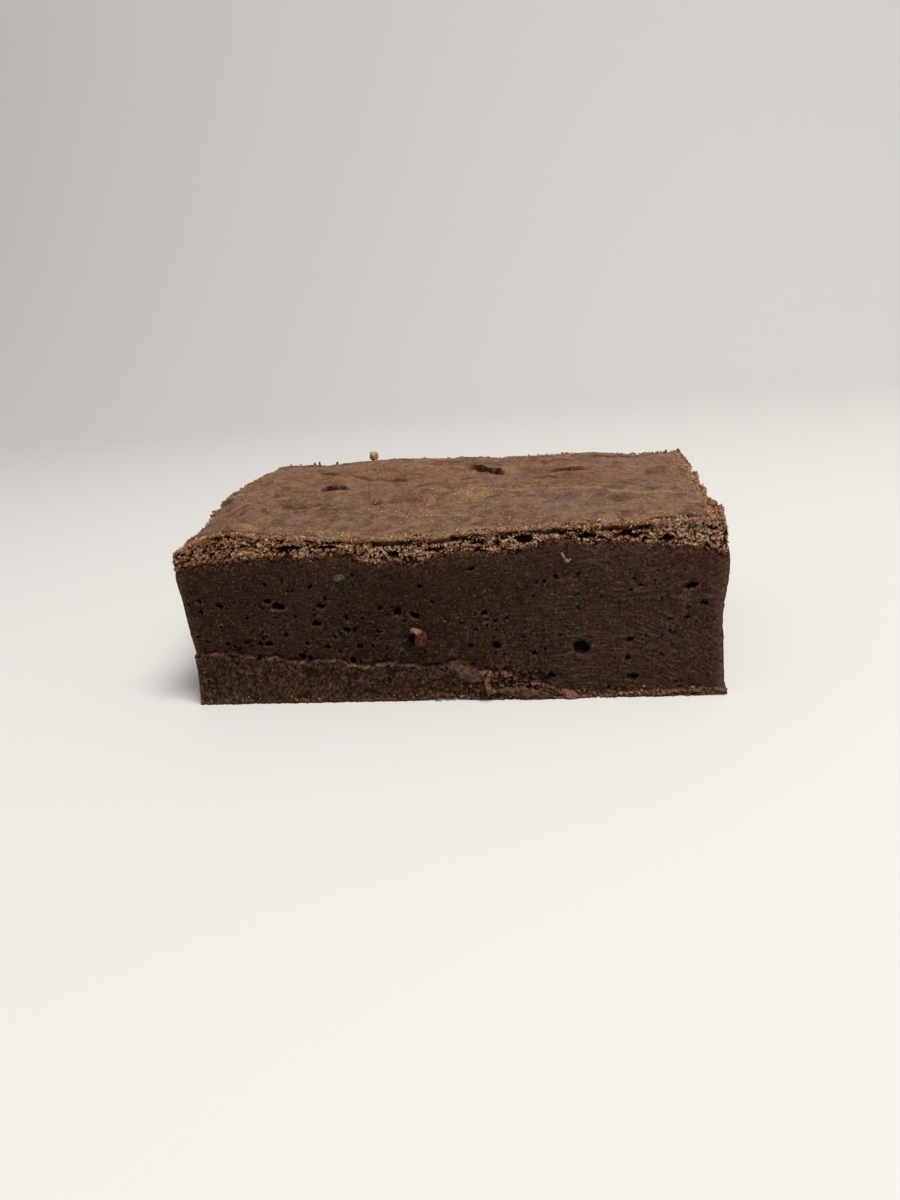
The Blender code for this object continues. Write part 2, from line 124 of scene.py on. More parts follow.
FRONT_SLOTS = (
    (-25.4, 27.9, 3.0, 0.8), (-25.3, 26.3, 1.8, 0.7), (-18.6, 27.7, 3.8, 0.6),
    (-7.1, 25.8, 2.0, 1.1), (-0.6, 26.5, 3.2, 0.7), (6.6, 27.2, 2.2, 0.8),
    (9.6, 27.2, 1.2, 0.7), (14.1, 27.6, 3.1, 1.5), (20.1, 27.9, 1.2, 0.7),
    (23.8, 27.5, 3.3, 1.1), (29.7, 27.3, 4.6, 0.7), (35.9, 26.5, 2.4, 1.0),
)
# A knife mark on the front: where it lies, and the heights where it comes in and fades out.
KNIFE_MARK = (-0.4, 6.5, 8.5, 19.0, 21.5)
# Crumbs along the base: (middle, width, how many).
BASE_CLUSTERS = ((-1.0, 5.0, 26), (22.4, 3.2, 40), (27.0, 3.0, 14), (33.8, 5.2, 60), (12.0, 9.0, 30))
# Tears and folds of the skin: (x, y, length, width, turn in degrees, depth of a fold).
SKIN_TEARS = ((-22.7, -5.0, 6.4, 1.3, 10), (4.8, 9.6, 12.0, 2.4, -48), (21.7, 6.0, 9.4, 0.7, 6))
SKIN_FOLDS = (
    (-38.7, -19.5, 7.0, 0.5, 58, 0.5), (-36.3, -19.0, 6.0, 0.4, 64, 0.35), (-43.5, -11.0, 5.0, 0.5, -20, 0.5),
    (-27.6, -15.0, 5.5, 0.6, 4, 0.35), (-23.4, -14.0, 4.5, 0.5, -6, 0.3), (-27.6, 8.7, 6.0, 0.45, -20, 0.4),
    (-20.0, 5.2, 7.0, 0.4, -20, 0.4), (-13.1, -12.1, 2.4, 0.5, 20, 0.3), (30.6, -19.0, 5.0, 0.35, 0, 0.35),
    (30.6, -21.0, 4.0, 0.3, 3, 0.25), (-31.0, -5.0, 4.0, 0.5, 8, 0.3), (-12.0, 3.0, 4.5, 0.4, -10, 0.3),
    (17.5, 1.7, 5.0, 0.4, -12, 0.3), (32.0, -7.5, 6.0, 0.4, -25, 0.3), (31.5, 22.0, 8.0, 0.5, 8, 0.4),
    (16.0, 21.0, 9.0, 0.5, -5, 0.35),
)

# ---------------------------------------------------------------- the fine surface

FUDGE_STEP = {"front": 0.2, "right": 0.45, "back": 0.5, "left": 0.45}
LIP_ROWS = 20
LEDGE_ROWS = 8
FACE_ROWS = 78
LEDGE_HALF = 0.45
FUDGE_UNDER_CRUST = 0.8
CRUST_STEP = {"front": 0.14, "right": 0.28, "back": 0.30, "left": 0.28}
CRUST_WALL_ROWS = 38
CRUST_TOP_ROWS = 26
CRUST_RING_WIDTH = 9.0
CRUST_SUNK = -0.9
CRUMB_RELIEF = 0.5
SKIN_STEP = 0.265
SKIN_RIM_ROWS = 5
SKIN_RIM_DEPTH = (0.35, 1.15)
FRONT_STRIPS = ((-10.4, -3.5), (-1.5, 5.5), (9.5, 13.0), (16.0, 20.5), (25.8, 34.2))
HIDDEN_TOP = 23.0
BASE_INSET = 1.2
LID_INSET = 3.0
BARE_SUNK = 1.1
RIM_DROP = 0.35
PORES_PER_MM = 3.2
SPECKS_PER_MM = 5
BAND_GRAINS_PER_MM = {"front": 115, "right": 26, "back": 26, "left": 26}
RIM_GRAINS_PER_MM = {"front": 36, "right": 9, "back": 9, "left": 9}
LOW_GRAINS_PER_MM = {"front": 9, "right": 3, "back": 3, "left": 3}
BARE_TRIES, BARE_GRAINS = 60000, 5000
DUST_TRIES, DUST_CRUMBS = 90000, 9000
# Spots on the skin: (strength, x, y, reach along x, reach along y).
BARE_SPOTS = ((-4.0, 45, 30, 3.0, 3.0), (3.0, -43, -31, 6.0, 3.0), (3.4, 45, -26, 5.0, 5.0),
              (1.8, -45, 10, 3.0, 9.0))
DUST_SPOTS = ((1.6, 2.5, -10.5, 6.0, 3.0), (3.0, -7.7, 14.0, 5.2, 1.1), (1.6, 35.2, -27.4, 3.0, 1.0),
              (0.9, 38.0, -9.0, 3.0, 2.5), (0.9, -38.4, -10.2, 2.2, 1.6), (1.4, -40.0, 1.0, 2.6, 1.8),
              (1.2, -33.0, -26.8, 2.6, 1.6), (1.6, -16.4, -28.2, 3.4, 1.3))
# Near-black painted shade for the inside of the fudge's pores and gaps.
FUDGE_HOLE_SHADE = (0.005, 0.0010, 0.0003)


def rise(value, low, high):
    """Goes from 0 at low to 1 at high, with no corner at either end."""
    share = np.clip((value - low) / (high - low), 0.0, 1.0)
    return share * share * (3.0 - 2.0 * share)


def fall(value, low, high):
    """Goes from 1 at low to 0 at high."""
    return 1.0 - rise(value, low, high)


def bell(away, width):
    """1 in the middle and 0 beyond about two widths to either side."""
    return np.exp(-(away / width) ** 2)


def decay(away, length):
    """1 up to a place, and less and less with the way from it."""
    return np.exp(-np.maximum(away, 0.0) / length)


def spots(x, y, places):
    """Soft round spots on the skin, added up: (strength, x, y, reach along x, reach along y)."""
    return sum(strength * np.exp(-((x - at_x) / wide) ** 2 - ((y - at_y) / deep) ** 2)
               for strength, at_x, at_y, wide, deep in places)


def turned(x, y, at_x, at_y, turn):
    """How far points lie from a place, along a direction and across it."""
    c, s = math.cos(turn), math.sin(turn)
    return (x - at_x) * c + (y - at_y) * s, (y - at_y) * c - (x - at_x) * s


def curve(points, at):
    """A smooth line through (place, value) points, read at the places given."""
    place, value = np.array(points, dtype=float).T
    slope = np.gradient(value, place)
    right = np.clip(np.searchsorted(place, at), 1, len(place) - 1)
    left = right - 1
    width = place[right] - place[left]
    t = np.clip((at - place[left]) / width, 0.0, 1.0)
    start = (2 * t ** 3 - 3 * t ** 2 + 1) * value[left] + (t ** 3 - 2 * t ** 2 + t) * width * slope[left]
    end = (3 * t ** 2 - 2 * t ** 3) * value[right] + (t ** 3 - t ** 2) * width * slope[right]
    return start + end


def lattice(column, row, seed):
    """A steady random number from -1 to 1 for each point of a whole-number grid."""
    mixed = column.astype(np.int64) * 374761393 + row.astype(np.int64) * 668265263 + seed * 974711
    mixed = (mixed ^ (mixed >> 13)) * 1274126177
    mixed = mixed ^ (mixed >> 16)
    return (mixed & 0xFFFFFF) / 0x7FFFFF - 1.0


def noise(u, v, seed):
    """Smooth random waves about one unit long, from -1 to 1."""
    u, v = np.broadcast_arrays(np.asarray(u, dtype=float), np.asarray(v, dtype=float))
    column, row = np.floor(u), np.floor(v)
    across, up = rise(u - column, 0.0, 1.0), rise(v - row, 0.0, 1.0)
    low = lattice(column, row, seed) * (1 - across) + lattice(column + 1, row, seed) * across
    high = lattice(column, row + 1, seed) * (1 - across) + lattice(column + 1, row + 1, seed) * across
    return low * (1 - up) + high * up


def layered(u, v, seed, layers):
    """Noise at several scales on top of each other, each half as long and half as strong."""
    total = 0.0
    for layer in range(layers):
        total = total + noise(u * 2 ** layer, v * 2 ** layer, seed + 3 * layer) * 0.5 ** layer
    return total


def grains(u, v, seed):
    """Rounded grains about one unit wide: each point's height on its grain, and the grain's own number."""
    column, row = np.floor(u), np.floor(v)
    nearest = np.full(u.shape, 9.0)
    own = np.zeros(u.shape)
    for i in (-1, 0, 1):
        for j in (-1, 0, 1):
            centre_u = column + i + 0.5 + 0.42 * lattice(column + i, row + j, seed)
            centre_v = row + j + 0.5 + 0.42 * lattice(column + i, row + j, seed + 1)
            away = np.hypot(u - centre_u, v - centre_v)
            closer = away < nearest
            own = np.where(closer, lattice(column + i, row + j, seed + 2), own)
            nearest = np.minimum(away, nearest)
    return 1.0 - 1.5 * nearest ** 2, own


def crumb_field(u, v, seed):
    """Clumped crumb: how far it stands out, from about -1 in the gaps to 1, and each grain's tone."""
    bent_u = u + 0.22 * noise(u / 1.3, v / 1.3, seed) + 0.08 * noise(u / 0.5, v / 0.5, seed + 1)
    bent_v = v + 0.22 * noise(u / 1.3, v / 1.3, seed + 2) + 0.08 * noise(u / 0.5, v / 0.5, seed + 3)
    clump, clump_tone = grains(bent_u / 0.85, bent_v / 0.6, seed + 4)
    small, tone = grains(bent_u / 0.36, bent_v / 0.31, seed + 7)
    height = 0.32 * clump + 0.75 * small + 0.2 * clump_tone + 0.4 * tone - 0.69
    height = height + 0.3 * noise(u / 0.22, v / 0.2, seed + 13)
    crack = rise(1.0 - np.abs(noise(bent_u / 2.4, bent_v / 0.9, seed + 10)), 0.86, 0.97)
    return height - 0.9 * crack, 0.5 + 0.3 * tone + 0.2 * clump_tone


def skin_height(x, y):
    """Height of the top skin over a point of the plain block."""
    a, b = x / LENGTH + 0.5, y / DEPTH + 0.5
    front, back = curve(FRONT_EDGE, x), curve(BACK_EDGE, x)
    left, right = curve(LEFT_EDGE, y), curve(RIGHT_EDGE, y)
    corners = ((FRONT_EDGE[0][1] * (1 - a) + FRONT_EDGE[-1][1] * a) * (1 - b)
               + (BACK_EDGE[0][1] * (1 - a) + BACK_EDGE[-1][1] * a) * b)
    height = front * (1 - b) + back * b + left * (1 - a) + right * a - corners
    inside = 1.0 - decay(edge_distance(x, y), SKIN_RISE_WIDTH)
    waves = SKIN_WAVE * noise(x / SKIN_WAVE_LENGTH, y / SKIN_WAVE_LENGTH, SEED)
    wrinkles = SKIN_WRINKLE * noise(x / SKIN_WRINKLE_LENGTH, y / SKIN_WRINKLE_LENGTH, SEED + 1)
    return height + inside * (SKIN_RISE + waves + wrinkles)


def edge_distance(x, y):
    return np.minimum(LENGTH / 2 - np.abs(x), DEPTH / 2 - np.abs(y))


def edge_height(side, along):
    return curve(EDGES[side], along)


def band_height(side, along):
    """Height at which the crumbly crust band of a cut face starts."""
    if side == "front":
        return curve(FRONT_BAND, along)
    return edge_height(side, along) - CRUST_DEPTH + 0.8 * noise(along / 6.0, 0.5, SIDE_SEED[side])


def base_height(side, along):
    """How far the bottom edge of a cut face is torn away upwards."""
    if side == "front":
        return np.maximum(curve(FRONT_BASE, along), 0.0)
    return 0.25 * np.maximum(noise(along / 5.0, 6.5, SIDE_SEED[side]), 0.0)


def ragged_lip(side, along):
    """The ledge of the base lip, with its edge broken at the scale of crumbs."""
    seed = SIDE_SEED[side] + 60
    ragged = 0.3 * noise(along / 1.9, 0.5, seed) + 0.24 * noise(along / 0.5, 2.5, seed)
    return curve(LIP_LINES[side], along) + ragged


def swell(side, along, z):
    """How far a cut face stands out from its flat plane."""
    seed = SIDE_SEED[side]
    band, lip = band_height(side, along), ragged_lip(side, along)
    in_band = rise(z, band - 0.3, band + 0.7)
    out = curve(SIDE_PROFILES[side], z)
    out = out + FACE_WAVE * noise(along / FACE_WAVE_LENGTH, z / FACE_WAVE_LENGTH, seed + 1)
    out = out + CRAG_DEPTH[side] * in_band * noise(along / CRAG_LENGTH, z / CRAG_HEIGHT, seed + 2)
    out = out + LIP_STEP[side] * fall(z, lip - LIP_EDGE, lip + LIP_EDGE)
    if side == "right":
        start, end = RIGHT_STEP_SPAN
        step = rise(along, start - 1, start + 1) * fall(along, end - 1, end + 1)
        out = out + RIGHT_STEP * in_band * step
    if side == "left":
        out = out + LEFT_SWELL * rise(along, -18.0, -4.0) * rise(z, 14.0, 24.0)
    return out


def spread(x, y, z):
    """Moves points of the plain block sideways, to where its uneven cut faces are."""
    a, b = x / LENGTH + 0.5, y / DEPTH + 0.5
    moved_x = (LENGTH / 2 + swell("right", y, z)) * a - (LENGTH / 2 + swell("left", y, z)) * (1 - a)
    moved_y = (DEPTH / 2 + swell("back", x, z)) * b - (DEPTH / 2 + swell("front", x, z)) * (1 - b)
    return np.stack([moved_x, moved_y, z], axis=-1)


def side_length(side):
    return LENGTH if side in ("front", "back") else DEPTH


def columns(side, step):
    """Places along one side about a step apart, in the order that goes round the block."""
    count = round(side_length(side) / step[side])
    along = (np.arange(count) / count - 0.5) * side_length(side)
    return along if side in ("front", "right") else -along


def block_point(side, along):
    """The x and y of a place along one side of the plain block."""
    edge = np.full_like(along, 0.5)
    return {"front": (along, -DEPTH * edge), "right": (LENGTH * edge, along),
            "back": (along, DEPTH * edge), "left": (-LENGTH * edge, along)}[side]


def pore_list(side):
    """The pores of one cut face: the large ones, then small ones scattered where they show most."""
    draw = np.random.default_rng(SIDE_SEED[side])
    front, half = side == "front", side_length(side) / 2
    pores = []
    if front:
        pores = [(x, z, width, height, math.radians(tilt), 1.1) for x, z, width, height, tilt in FRONT_PORES]
        pores += [(x, z, width, width * draw.uniform(0.5, 0.9), draw.uniform(-0.5, 0.5), 0.9)
                  for x, z, width in SMALL_PORES]
    while len(pores) < int(side_length(side) * PORES_PER_MM):
        along, z = draw.uniform(-half + 0.6, half - 0.6), draw.uniform(0.8, 25.0)
        middle = 0.16 + 0.8 * math.exp(-((z - 12.0) / 6.0) ** 2)
        above_lip = 0.8 * math.exp(-((z - float(curve(LIP_LINES[side], along)) - 0.9) / 0.9) ** 2)
        left_part = 0.35 + 0.65 * float(rise(-along, -22.0, 8.0)) if front else 1.0
        if draw.uniform() > middle * left_part + above_lip:
            continue
        width = 0.36 + (0.35 if front else 0.75) * draw.uniform() ** 3.0
        height = width * draw.uniform(0.45, 0.9)
        pores.append((along, z, width, height, draw.uniform(-0.5, 0.5), 0.75))
    return pores


def hollow(along, z, at_along, at_z, width, height, turn):
    """An oval mouth: the points near it, how deep inside they lie, and how close to its lower rim."""
    reach = 0.9 * max(width, height) + 0.2
    near = (np.abs(along - at_along) < reach) & (np.abs(z - at_z) < reach)
    u, v = turned(along[near], z[near], at_along, at_z, turn)
    around = np.arctan2(v, u)
    rim = 0.22 * np.sin(2 * around + 5 * at_along) + 0.16 * np.sin(3 * around + 9 * at_z)
    rim = 1.0 + min(1.0, 1.0 / width) * rim + 0.08 * np.sin(5 * around + 7 * at_along)
    share = ((2 * u / width) ** 2 + (2 * v / height) ** 2) / rim ** 2
    below = bell(np.sqrt(share) - 1.15, 0.3) * rise(-v / height, 0.05, 0.4)
    return near, np.sqrt(np.clip(1.0 - share, 0.0, 1.0)), below


def drag_lines(side, along, z):
    """Where each point lies across the streaks that the knife left, and how strong they are there."""
    seed = SIDE_SEED[side] + 140
    across = z + 0.45 * noise(along / 12.0, z / 9.0, seed) + 0.12 * noise(along / 2.5, z / 2.5, seed + 1)
    strength = 0.35 + 0.5 * noise(along / 5.0, z / 3.0, seed + 2)
    if side == "front":
        high = rise(z, 12.0, 20.0)
        across = across + 0.028 * np.maximum(along - 27.0, 0.0) ** 2 * (1.0 - high)
        across = across - 0.02 * (along - 30.0) ** 2 * high * rise(along, 18.0, 24.0)
        strength = (strength + 0.4) * rise(along, 4.0, 24.0) + 0.25 * fall(along, -30.0, -5.0) * high
    return across, np.clip(strength, 0.0, 1.0)


def crust_share(side, along, z):
    """How far the crust has come out over the fudge: 0 below its ragged line and 1 above it."""
    seed = SIDE_SEED[side] + 200
    line = band_height(side, along) + 0.5 * noise(along / 1.3, z * 0 + 0.5, seed)
    line = line + 0.35 * noise(along / 0.45, z * 0 + 0.5, seed + 1)
    return rise(z, line - 0.9, line + 0.5)


def fudge_relief(side, along, z):
    """The fine surface of the cut fudge: how far it stands out, how much painted shade it gets in pores and
    gaps, and how light it is, with painted glints and highlights.
    """
    seed, front = SIDE_SEED[side] + 100, side == "front"
    along = np.broadcast_to(along, z.shape)
    lip = ragged_lip(side, along)
    on_lip = fall(z, lip - 0.1, lip + 0.1)
    grainy = 0.5 + 0.5 * noise(along / 7.0, z / 4.0, seed)
    bump, _ = grains(along / 0.55, z / 0.55, seed + 4)
    crumbly, _ = crumb_field(along, z, seed + 8)
    across, strength = drag_lines(side, along, z)
    out = 0.07 * layered(along / 1.5, z, seed + 1, 3) * (0.5 + grainy) + 0.07 * bump * (0.3 + grainy)
    out = out + 0.05 * noise(along / 5.0, across / 0.42, seed + 3) * strength
    out = out + crumbly * (0.2 * bell(z - lip + 0.2, 0.5) + 0.18 * on_lip) + 0.22 * bump * decay(z, 0.8)
    if front:
        mark = bell(along - KNIFE_MARK[0] - 0.3 * noise(z / 4.0, z * 0, seed + 5), 0.2)
        out = out - 0.16 * mark * rise(z, *KNIFE_MARK[1:3]) * fall(z, *KNIFE_MARK[3:5])
    # Painted shade darkens the inside of the pores.
    hole_shade, glint = np.zeros(z.shape), np.zeros(z.shape)
    for at_along, at_z, width, height, turn, depth in pore_list(side):
        near, inside, below = hollow(along, z, at_along, at_z, width, height, turn)
        out[near] -= min(depth, 0.75 * height + 0.25) * inside
        hole_shade[near] = np.maximum(hole_shade[near], rise(inside, 0.05, 0.6))
        # Painted glint on each pore's lower rim, where light from above falls.
        glint[near] = np.maximum(glint[near], below * (0.28 + 0.28 * math.sin(31 * at_along)))
    # Painted shadow in a broken dark line just above the ledge; painted shade also between the crumbs on the
    # lip.
    gap = bell(z - lip - 0.45, 0.2) * rise(noise(along / 0.9, z / 0.6, seed + 9), 0.0, 0.5)
    hole_shade = np.maximum(np.maximum(hole_shade, 0.85 * gap), 0.62 * on_lip * rise(-crumbly, 0.05, 0.5))
    out = out - 0.25 * gap - 0.9 * crust_share(side, along, z)
    # A light line along the ledge: partly its light tan crumbs, partly a painted highlight where it faces up.
    ledge = bell(z - lip, 0.2) * np.maximum(0.5 + 0.8 * noise(along / 0.6, z / 0.5, seed + 6), 0.0)
    ledge = ledge * (0.25 + 0.6 * rise(noise(along / 2.2, z * 0, seed + 7), -0.5, 0.5))
    light = on_lip * (0.09 + 0.46 * rise(crumbly, 0.1, 0.65)) + ledge + glint
    light = light + 0.4 * decay(z - base_height(side, along), 0.35)
    light = light + 0.07 * (rise(along, -10.0, 30.0) if front else 0.5)
    below_band = decay(band_height(side, along) + 0.2 - z, 1.1)
    light = light + 0.8 * below_band * rise(crumbly, -0.1, 0.5)
    # Painted highlight along the vertical corners, stronger at the front-right corner, which faces the key
    # light.
    toward_key = {"front": along > 0, "right": along < 0}.get(side, False)
    light = light + (0.35 + 0.35 * toward_key) * np.exp((np.abs(along) - side_length(side) / 2) / 0.6)
    if front:
        # The torn part: lighter crumbs, with painted shade between them.
        torn = rise(along, 1.0, 4.0) * fall(along, 14.0, 22.0) * fall(z, 4.0, 8.0)
        light = light + 0.45 * torn * rise(crumbly, 0.0, 0.6)
        hole_shade = np.maximum(hole_shade, 0.65 * torn * rise(-crumbly, 0.0, 0.4))
        out = out + 0.35 * torn * crumbly
    return out, hole_shade, light


def slot_list(side):
    """The slots under the skin in the crust band of one cut face: place, height, width, height."""
    if side == "front":
        return FRONT_SLOTS
    draw = np.random.default_rng(SIDE_SEED[side] + 1)
    half, count = side_length(side) / 2 - 4.0, round(side_length(side) / 10)
    slots = []
    for i in range(count):
        along = half * (2 * (i + draw.uniform(0.2, 0.8)) / count - 1)
        z = float(edge_height(side, along)) - draw.uniform(1.4, 2.8)
        slots.append((along, z, draw.uniform(1.6, 5.0), draw.uniform(0.6, 1.1)))
    return slots


def crust_shade(side, along, z):
    """How much painted shade the crust gets: 1 in the shadow right under the skin and towards its lower line,
    0 between.
    """
    depth = edge_height(side, along) - z
    under = rise(depth, 0.25, 0.5) * fall(depth, 0.9, 1.4)
    if side == "front":
        under = under * rise(along, -20.0, -12.0) * fall(along, 33.0, 38.0)
    low = rise(band_height(side, along) + 1.0 - z, 0.0, 1.2) * (0.55 + 0.35 * rise(np.abs(along), 35, 41))
    return np.maximum(0.85 * under, low)


def crust_relief(side, along, z):
    """The crumbly crust wall: how far it stands out, how much painted shade it gets and how light it is."""
    seed = SIDE_SEED[side] + 200
    along = np.broadcast_to(along, z.shape)
    height, tone = crumb_field(along, z, seed + 2)
    out = CRUST_SUNK * (1.0 - crust_share(side, along, z)) - 0.2 + CRUMB_RELIEF * height
    # Painted shade in the gaps between crumbs, and in the slots under the skin below.
    hole_shade = rise(-height, -0.1, 0.5)
    for at_along, at_z, width, slot_height in slot_list(side):
        wavy = z + 0.3 * noise(along / 1.1, z * 0 + at_along, seed + 14)
        wavy = wavy + 0.12 * noise(along / 0.35, z / 0.35, seed + 15)
        near, inside, _ = hollow(along, wavy, at_along, at_z, width * 1.1, slot_height * 1.1, 0.0)
        out[near] -= 1.5 * inside
        hole_shade[near] = np.maximum(hole_shade[near], rise(inside, 0.0, 0.5))
    below_skin = edge_height(side, along) - z
    # Painted shade on the crust behind the skin's bent-down strips.
    strip = skin_strip(*block_point(side, along)) * rise(-below_skin, -1.6, -1.2)
    # Lighter on high crumbs and darker in gaps: partly the crumbs' own tone, partly painted light and shade;
    # darkened further by the crust's painted shade.
    light = 0.16 + 0.4 * (tone + height) + 0.3 * decay(below_skin, 0.5) - 0.4 * crust_shade(side, along, z)
    if side == "front":
        light = light + 0.06 * (rise(along, -15.0, 5.0) + rise(along, 15.0, 26.0))
    return out - 0.8 * strip, np.maximum(hole_shade, 0.7 * strip), light


def bare_share(x, y):
    """Where the skin is missing and the crust shows: 1 there and 0 under whole skin."""
    calm = rise(-y, 26.0, 29.0) * rise(x, -24.0, -16.0) * fall(x, 32.0, 38.0)
    width = 0.9 * noise(x / 7.0, y / 7.0, SEED + 40) + 0.8 * noise(x / 1.6, y / 1.6, SEED + 41)
    width = 0.45 - 0.25 * calm + width * (1.0 - 0.6 * calm) + spots(x, y, BARE_SPOTS)
    return rise(width - edge_distance(x, y) - 3.0 * skin_strip(x, y), -0.2, 0.2)


def crust_top(x, y):
    """Height, painted shade in the gaps and lightness of the crust under the skin, lighter on high crumbs:
    partly their own tone, partly painted light.
    """
    height, tone = crumb_field(x, y, SEED + 50)
    return skin_height(x, y) - 0.45 + 0.4 * height, rise(-height, -0.1, 0.5), 0.2 + 0.4 * (tone + height)


def plate_line(x):
    """The back edge of a plate of skin that lies a little higher than the rest."""
    return curve(((-10, -15.0), (-1.7, -10.8), (3.1, -7.7), (7.2, -7.7), (15.6, -9.6), (25.5, -11.4),
                  (32.8, -16.0), (37.7, -16.9), (45, -19.0)), x)


def step_line(x):
    """The plate's back edge, broken unevenly."""
    return plate_line(x) + 0.7 * noise(x / 4.0, 0.5, SEED + 66)


def skin_relief(x, y):
    """The wrinkles, folds and tears of the skin: height over its plain form, and the painted shade in its
    tears and creases.
    """
    bent_x = x + 1.6 * noise(x / 6.0, y / 6.0, SEED + 60)
    bent_y = y + 1.6 * noise(x / 6.0, y / 6.0, SEED + 61)
    folds = 1.0 - np.abs(noise(bent_x / 5.0, bent_y / 4.0, SEED + 62))
    fine = 1.0 - np.abs(noise(bent_x / 1.5, bent_y / 1.3, SEED + 63))
    where = 0.5 + 0.5 * noise(x / 11.0, y / 9.0, SEED + 64)
    height = 0.36 * (folds ** 3 - 0.3) + 0.12 * (fine ** 2 - 0.4) * (0.4 + where)
    near_edge = decay(edge_distance(x, y), 0.7)
    height = height + (0.03 + 0.2 * near_edge) * layered(x / 0.7, y / 0.7, SEED + 65, 2)
    # Crease lines that sink a little; their dark colour is painted shade.
    lines = rise(1.0 - np.abs(noise(bent_x / 4.2, bent_y / 3.2, SEED + 68)), 0.88, 0.98)
    shaded_crease = 0.55 * lines * rise(noise(x / 3.4, y / 2.4, SEED + 69), 0.1, 0.6)
    over_step, on_plate = y - step_line(x), rise(x, -3.0, 4.0)
    height = height - 0.28 * shaded_crease + 0.25 * on_plate * bell(over_step + 0.5, 0.5)
    height = height + 0.6 * on_plate * fall(over_step, -0.3, 0.3) * decay(-over_step, 5.0)
    ridge = bell(y - 17.0 - 0.8 * noise(x / 5.0, 1.5, SEED + 85), 1.2)
    height = height + 0.5 * ridge * rise(x, -4.0, 2.0) * fall(x, 18.0, 28.0)
    for at_x, at_y, length, width, turn, deep in SKIN_FOLDS:
        u, v = turned(x, y, at_x, at_y, math.radians(turn))
        v = v + 0.4 * noise(u / 1.5, u * 0, SEED + 77)
        taper = np.exp(-(2 * u / length) ** 4)
        line = taper * bell(v, width)
        height = height - deep * line + 0.5 * deep * taper * bell(v - 2.2 * width, 1.5 * width)
        # The fold lines get painted shade too.
        shaded_crease = np.maximum(shaded_crease, line)
    tear_shade = np.zeros(x.shape)
    for at_x, at_y, length, width, turn in SKIN_TEARS:
        u, v = turned(x, y, at_x, at_y, math.radians(turn))
        v = v + 0.4 * layered(u / 1.8, np.full(x.shape, at_x), SEED + 67, 3)
        taper = np.clip(1.0 - (2 * u / length) ** 4, 0.0, 1.0)
        open_width = width * 0.5 * taper
        inside = rise(open_width - np.abs(v), 0.0, 0.3)
        flap = 0.7 * taper * decay(v - open_width, 1.6) * (v > 0)
        height = height + flap * (1.0 - inside) - inside
        ragged = open_width + 0.35 * layered(u / 1.1, v / 0.8, SEED + 86, 2)
        # Painted shade in the opened gap of each tear.
        dark = rise(ragged - np.abs(v), -0.15 * width, 0.3) * taper
        tear_shade = np.maximum(tear_shade, dark * min(1.0, width))
    return height, tear_shade, shaded_crease


def skin_level(x, y, relief, bare):
    """Height of the skin with its relief: sunk where it is missing, and rounded down at its rim."""
    return skin_height(x, y) + relief - BARE_SUNK * bare - RIM_DROP * np.exp(-edge_distance(x, y) / RIM_DROP)


# ---------------------------------------------------------------- meshes

def new_piece(name, points, faces, values, material):
    """Makes one piece: points in millimetres, faces as lists of corners, values as named numbers."""
    mesh = bpy.data.meshes.new(name)
    mesh.from_pydata(points * MM, [], faces)
    for key, numbers in values.items():
        layer = mesh.attributes.new(key, "FLOAT", "POINT")
        layer.data.foreach_set("value", np.asarray(numbers, dtype=np.float32).ravel())
    mesh.materials.append(material)
    mesh.shade_smooth()
    mesh.validate()
    piece = bpy.data.objects.new(name, mesh)
    bpy.context.scene.collection.objects.link(piece)
    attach(piece, "root")
    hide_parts(NODE)
    return piece


def ring_faces(rows, count, closed=False):
    """The quads between rings of points that lie above each other, numbered row by row."""
    i = np.arange(count)
    j = (i + 1) % count
    low = np.arange(rows if closed else rows - 1)[:, None] * count
    high = (low + count) % (rows * count)
    quads = np.stack([low + i, low + j, high + j, high + i], axis=-1)
    return quads.reshape(-1, 4).tolist()


def tube_faces(rows, count):
    """The faces of a tube of rings that is closed at both ends."""
    last = rows * count
    return ring_faces(rows, count) + [list(range(count - 1, -1, -1)), list(range(last - count, last))]


def shrunk(points, inset, z):
    """A ring of points moved towards the block's middle by about an inset, at a height."""
    inward = np.array([1 - 2 * inset / LENGTH, 1 - 2 * inset / DEPTH])
    ring = points * np.append(inward, 0.0)
    ring[:, 2] = z
    return ring


def wall_points(side, along, z, out):
    """Points of a cut face that stand out from it by some more."""
    x, y = (np.broadcast_to(place, z.shape) for place in block_point(side, along))
    return spread(x, y, z) + out[..., None] * np.array(OUTWARD[side])


def round_block(parts):
    """Joins the arrays made for each side, in the order that goes round the block."""
    return [np.concatenate(arrays, axis=1) for arrays in zip(*parts)]


def fudge_rows(side, along):
    """Heights of a cut face's rows of points: up to the lip's ledge, over it, and on to the crust."""
    base, lip = base_height(side, along), ragged_lip(side, along)
    top = band_height(side, along) + FUDGE_UNDER_CRUST
    low, high = np.maximum(lip - LEDGE_HALF, base + 0.1), np.maximum(lip + LEDGE_HALF, base + 0.5)
    stretches = ((base, low, LIP_ROWS), (low, high, LEDGE_ROWS), (high, top, FACE_ROWS))
    rows = [start + (end - start) * k / count for start, end, count in stretches for k in range(count)]
    return np.array(rows + [top])


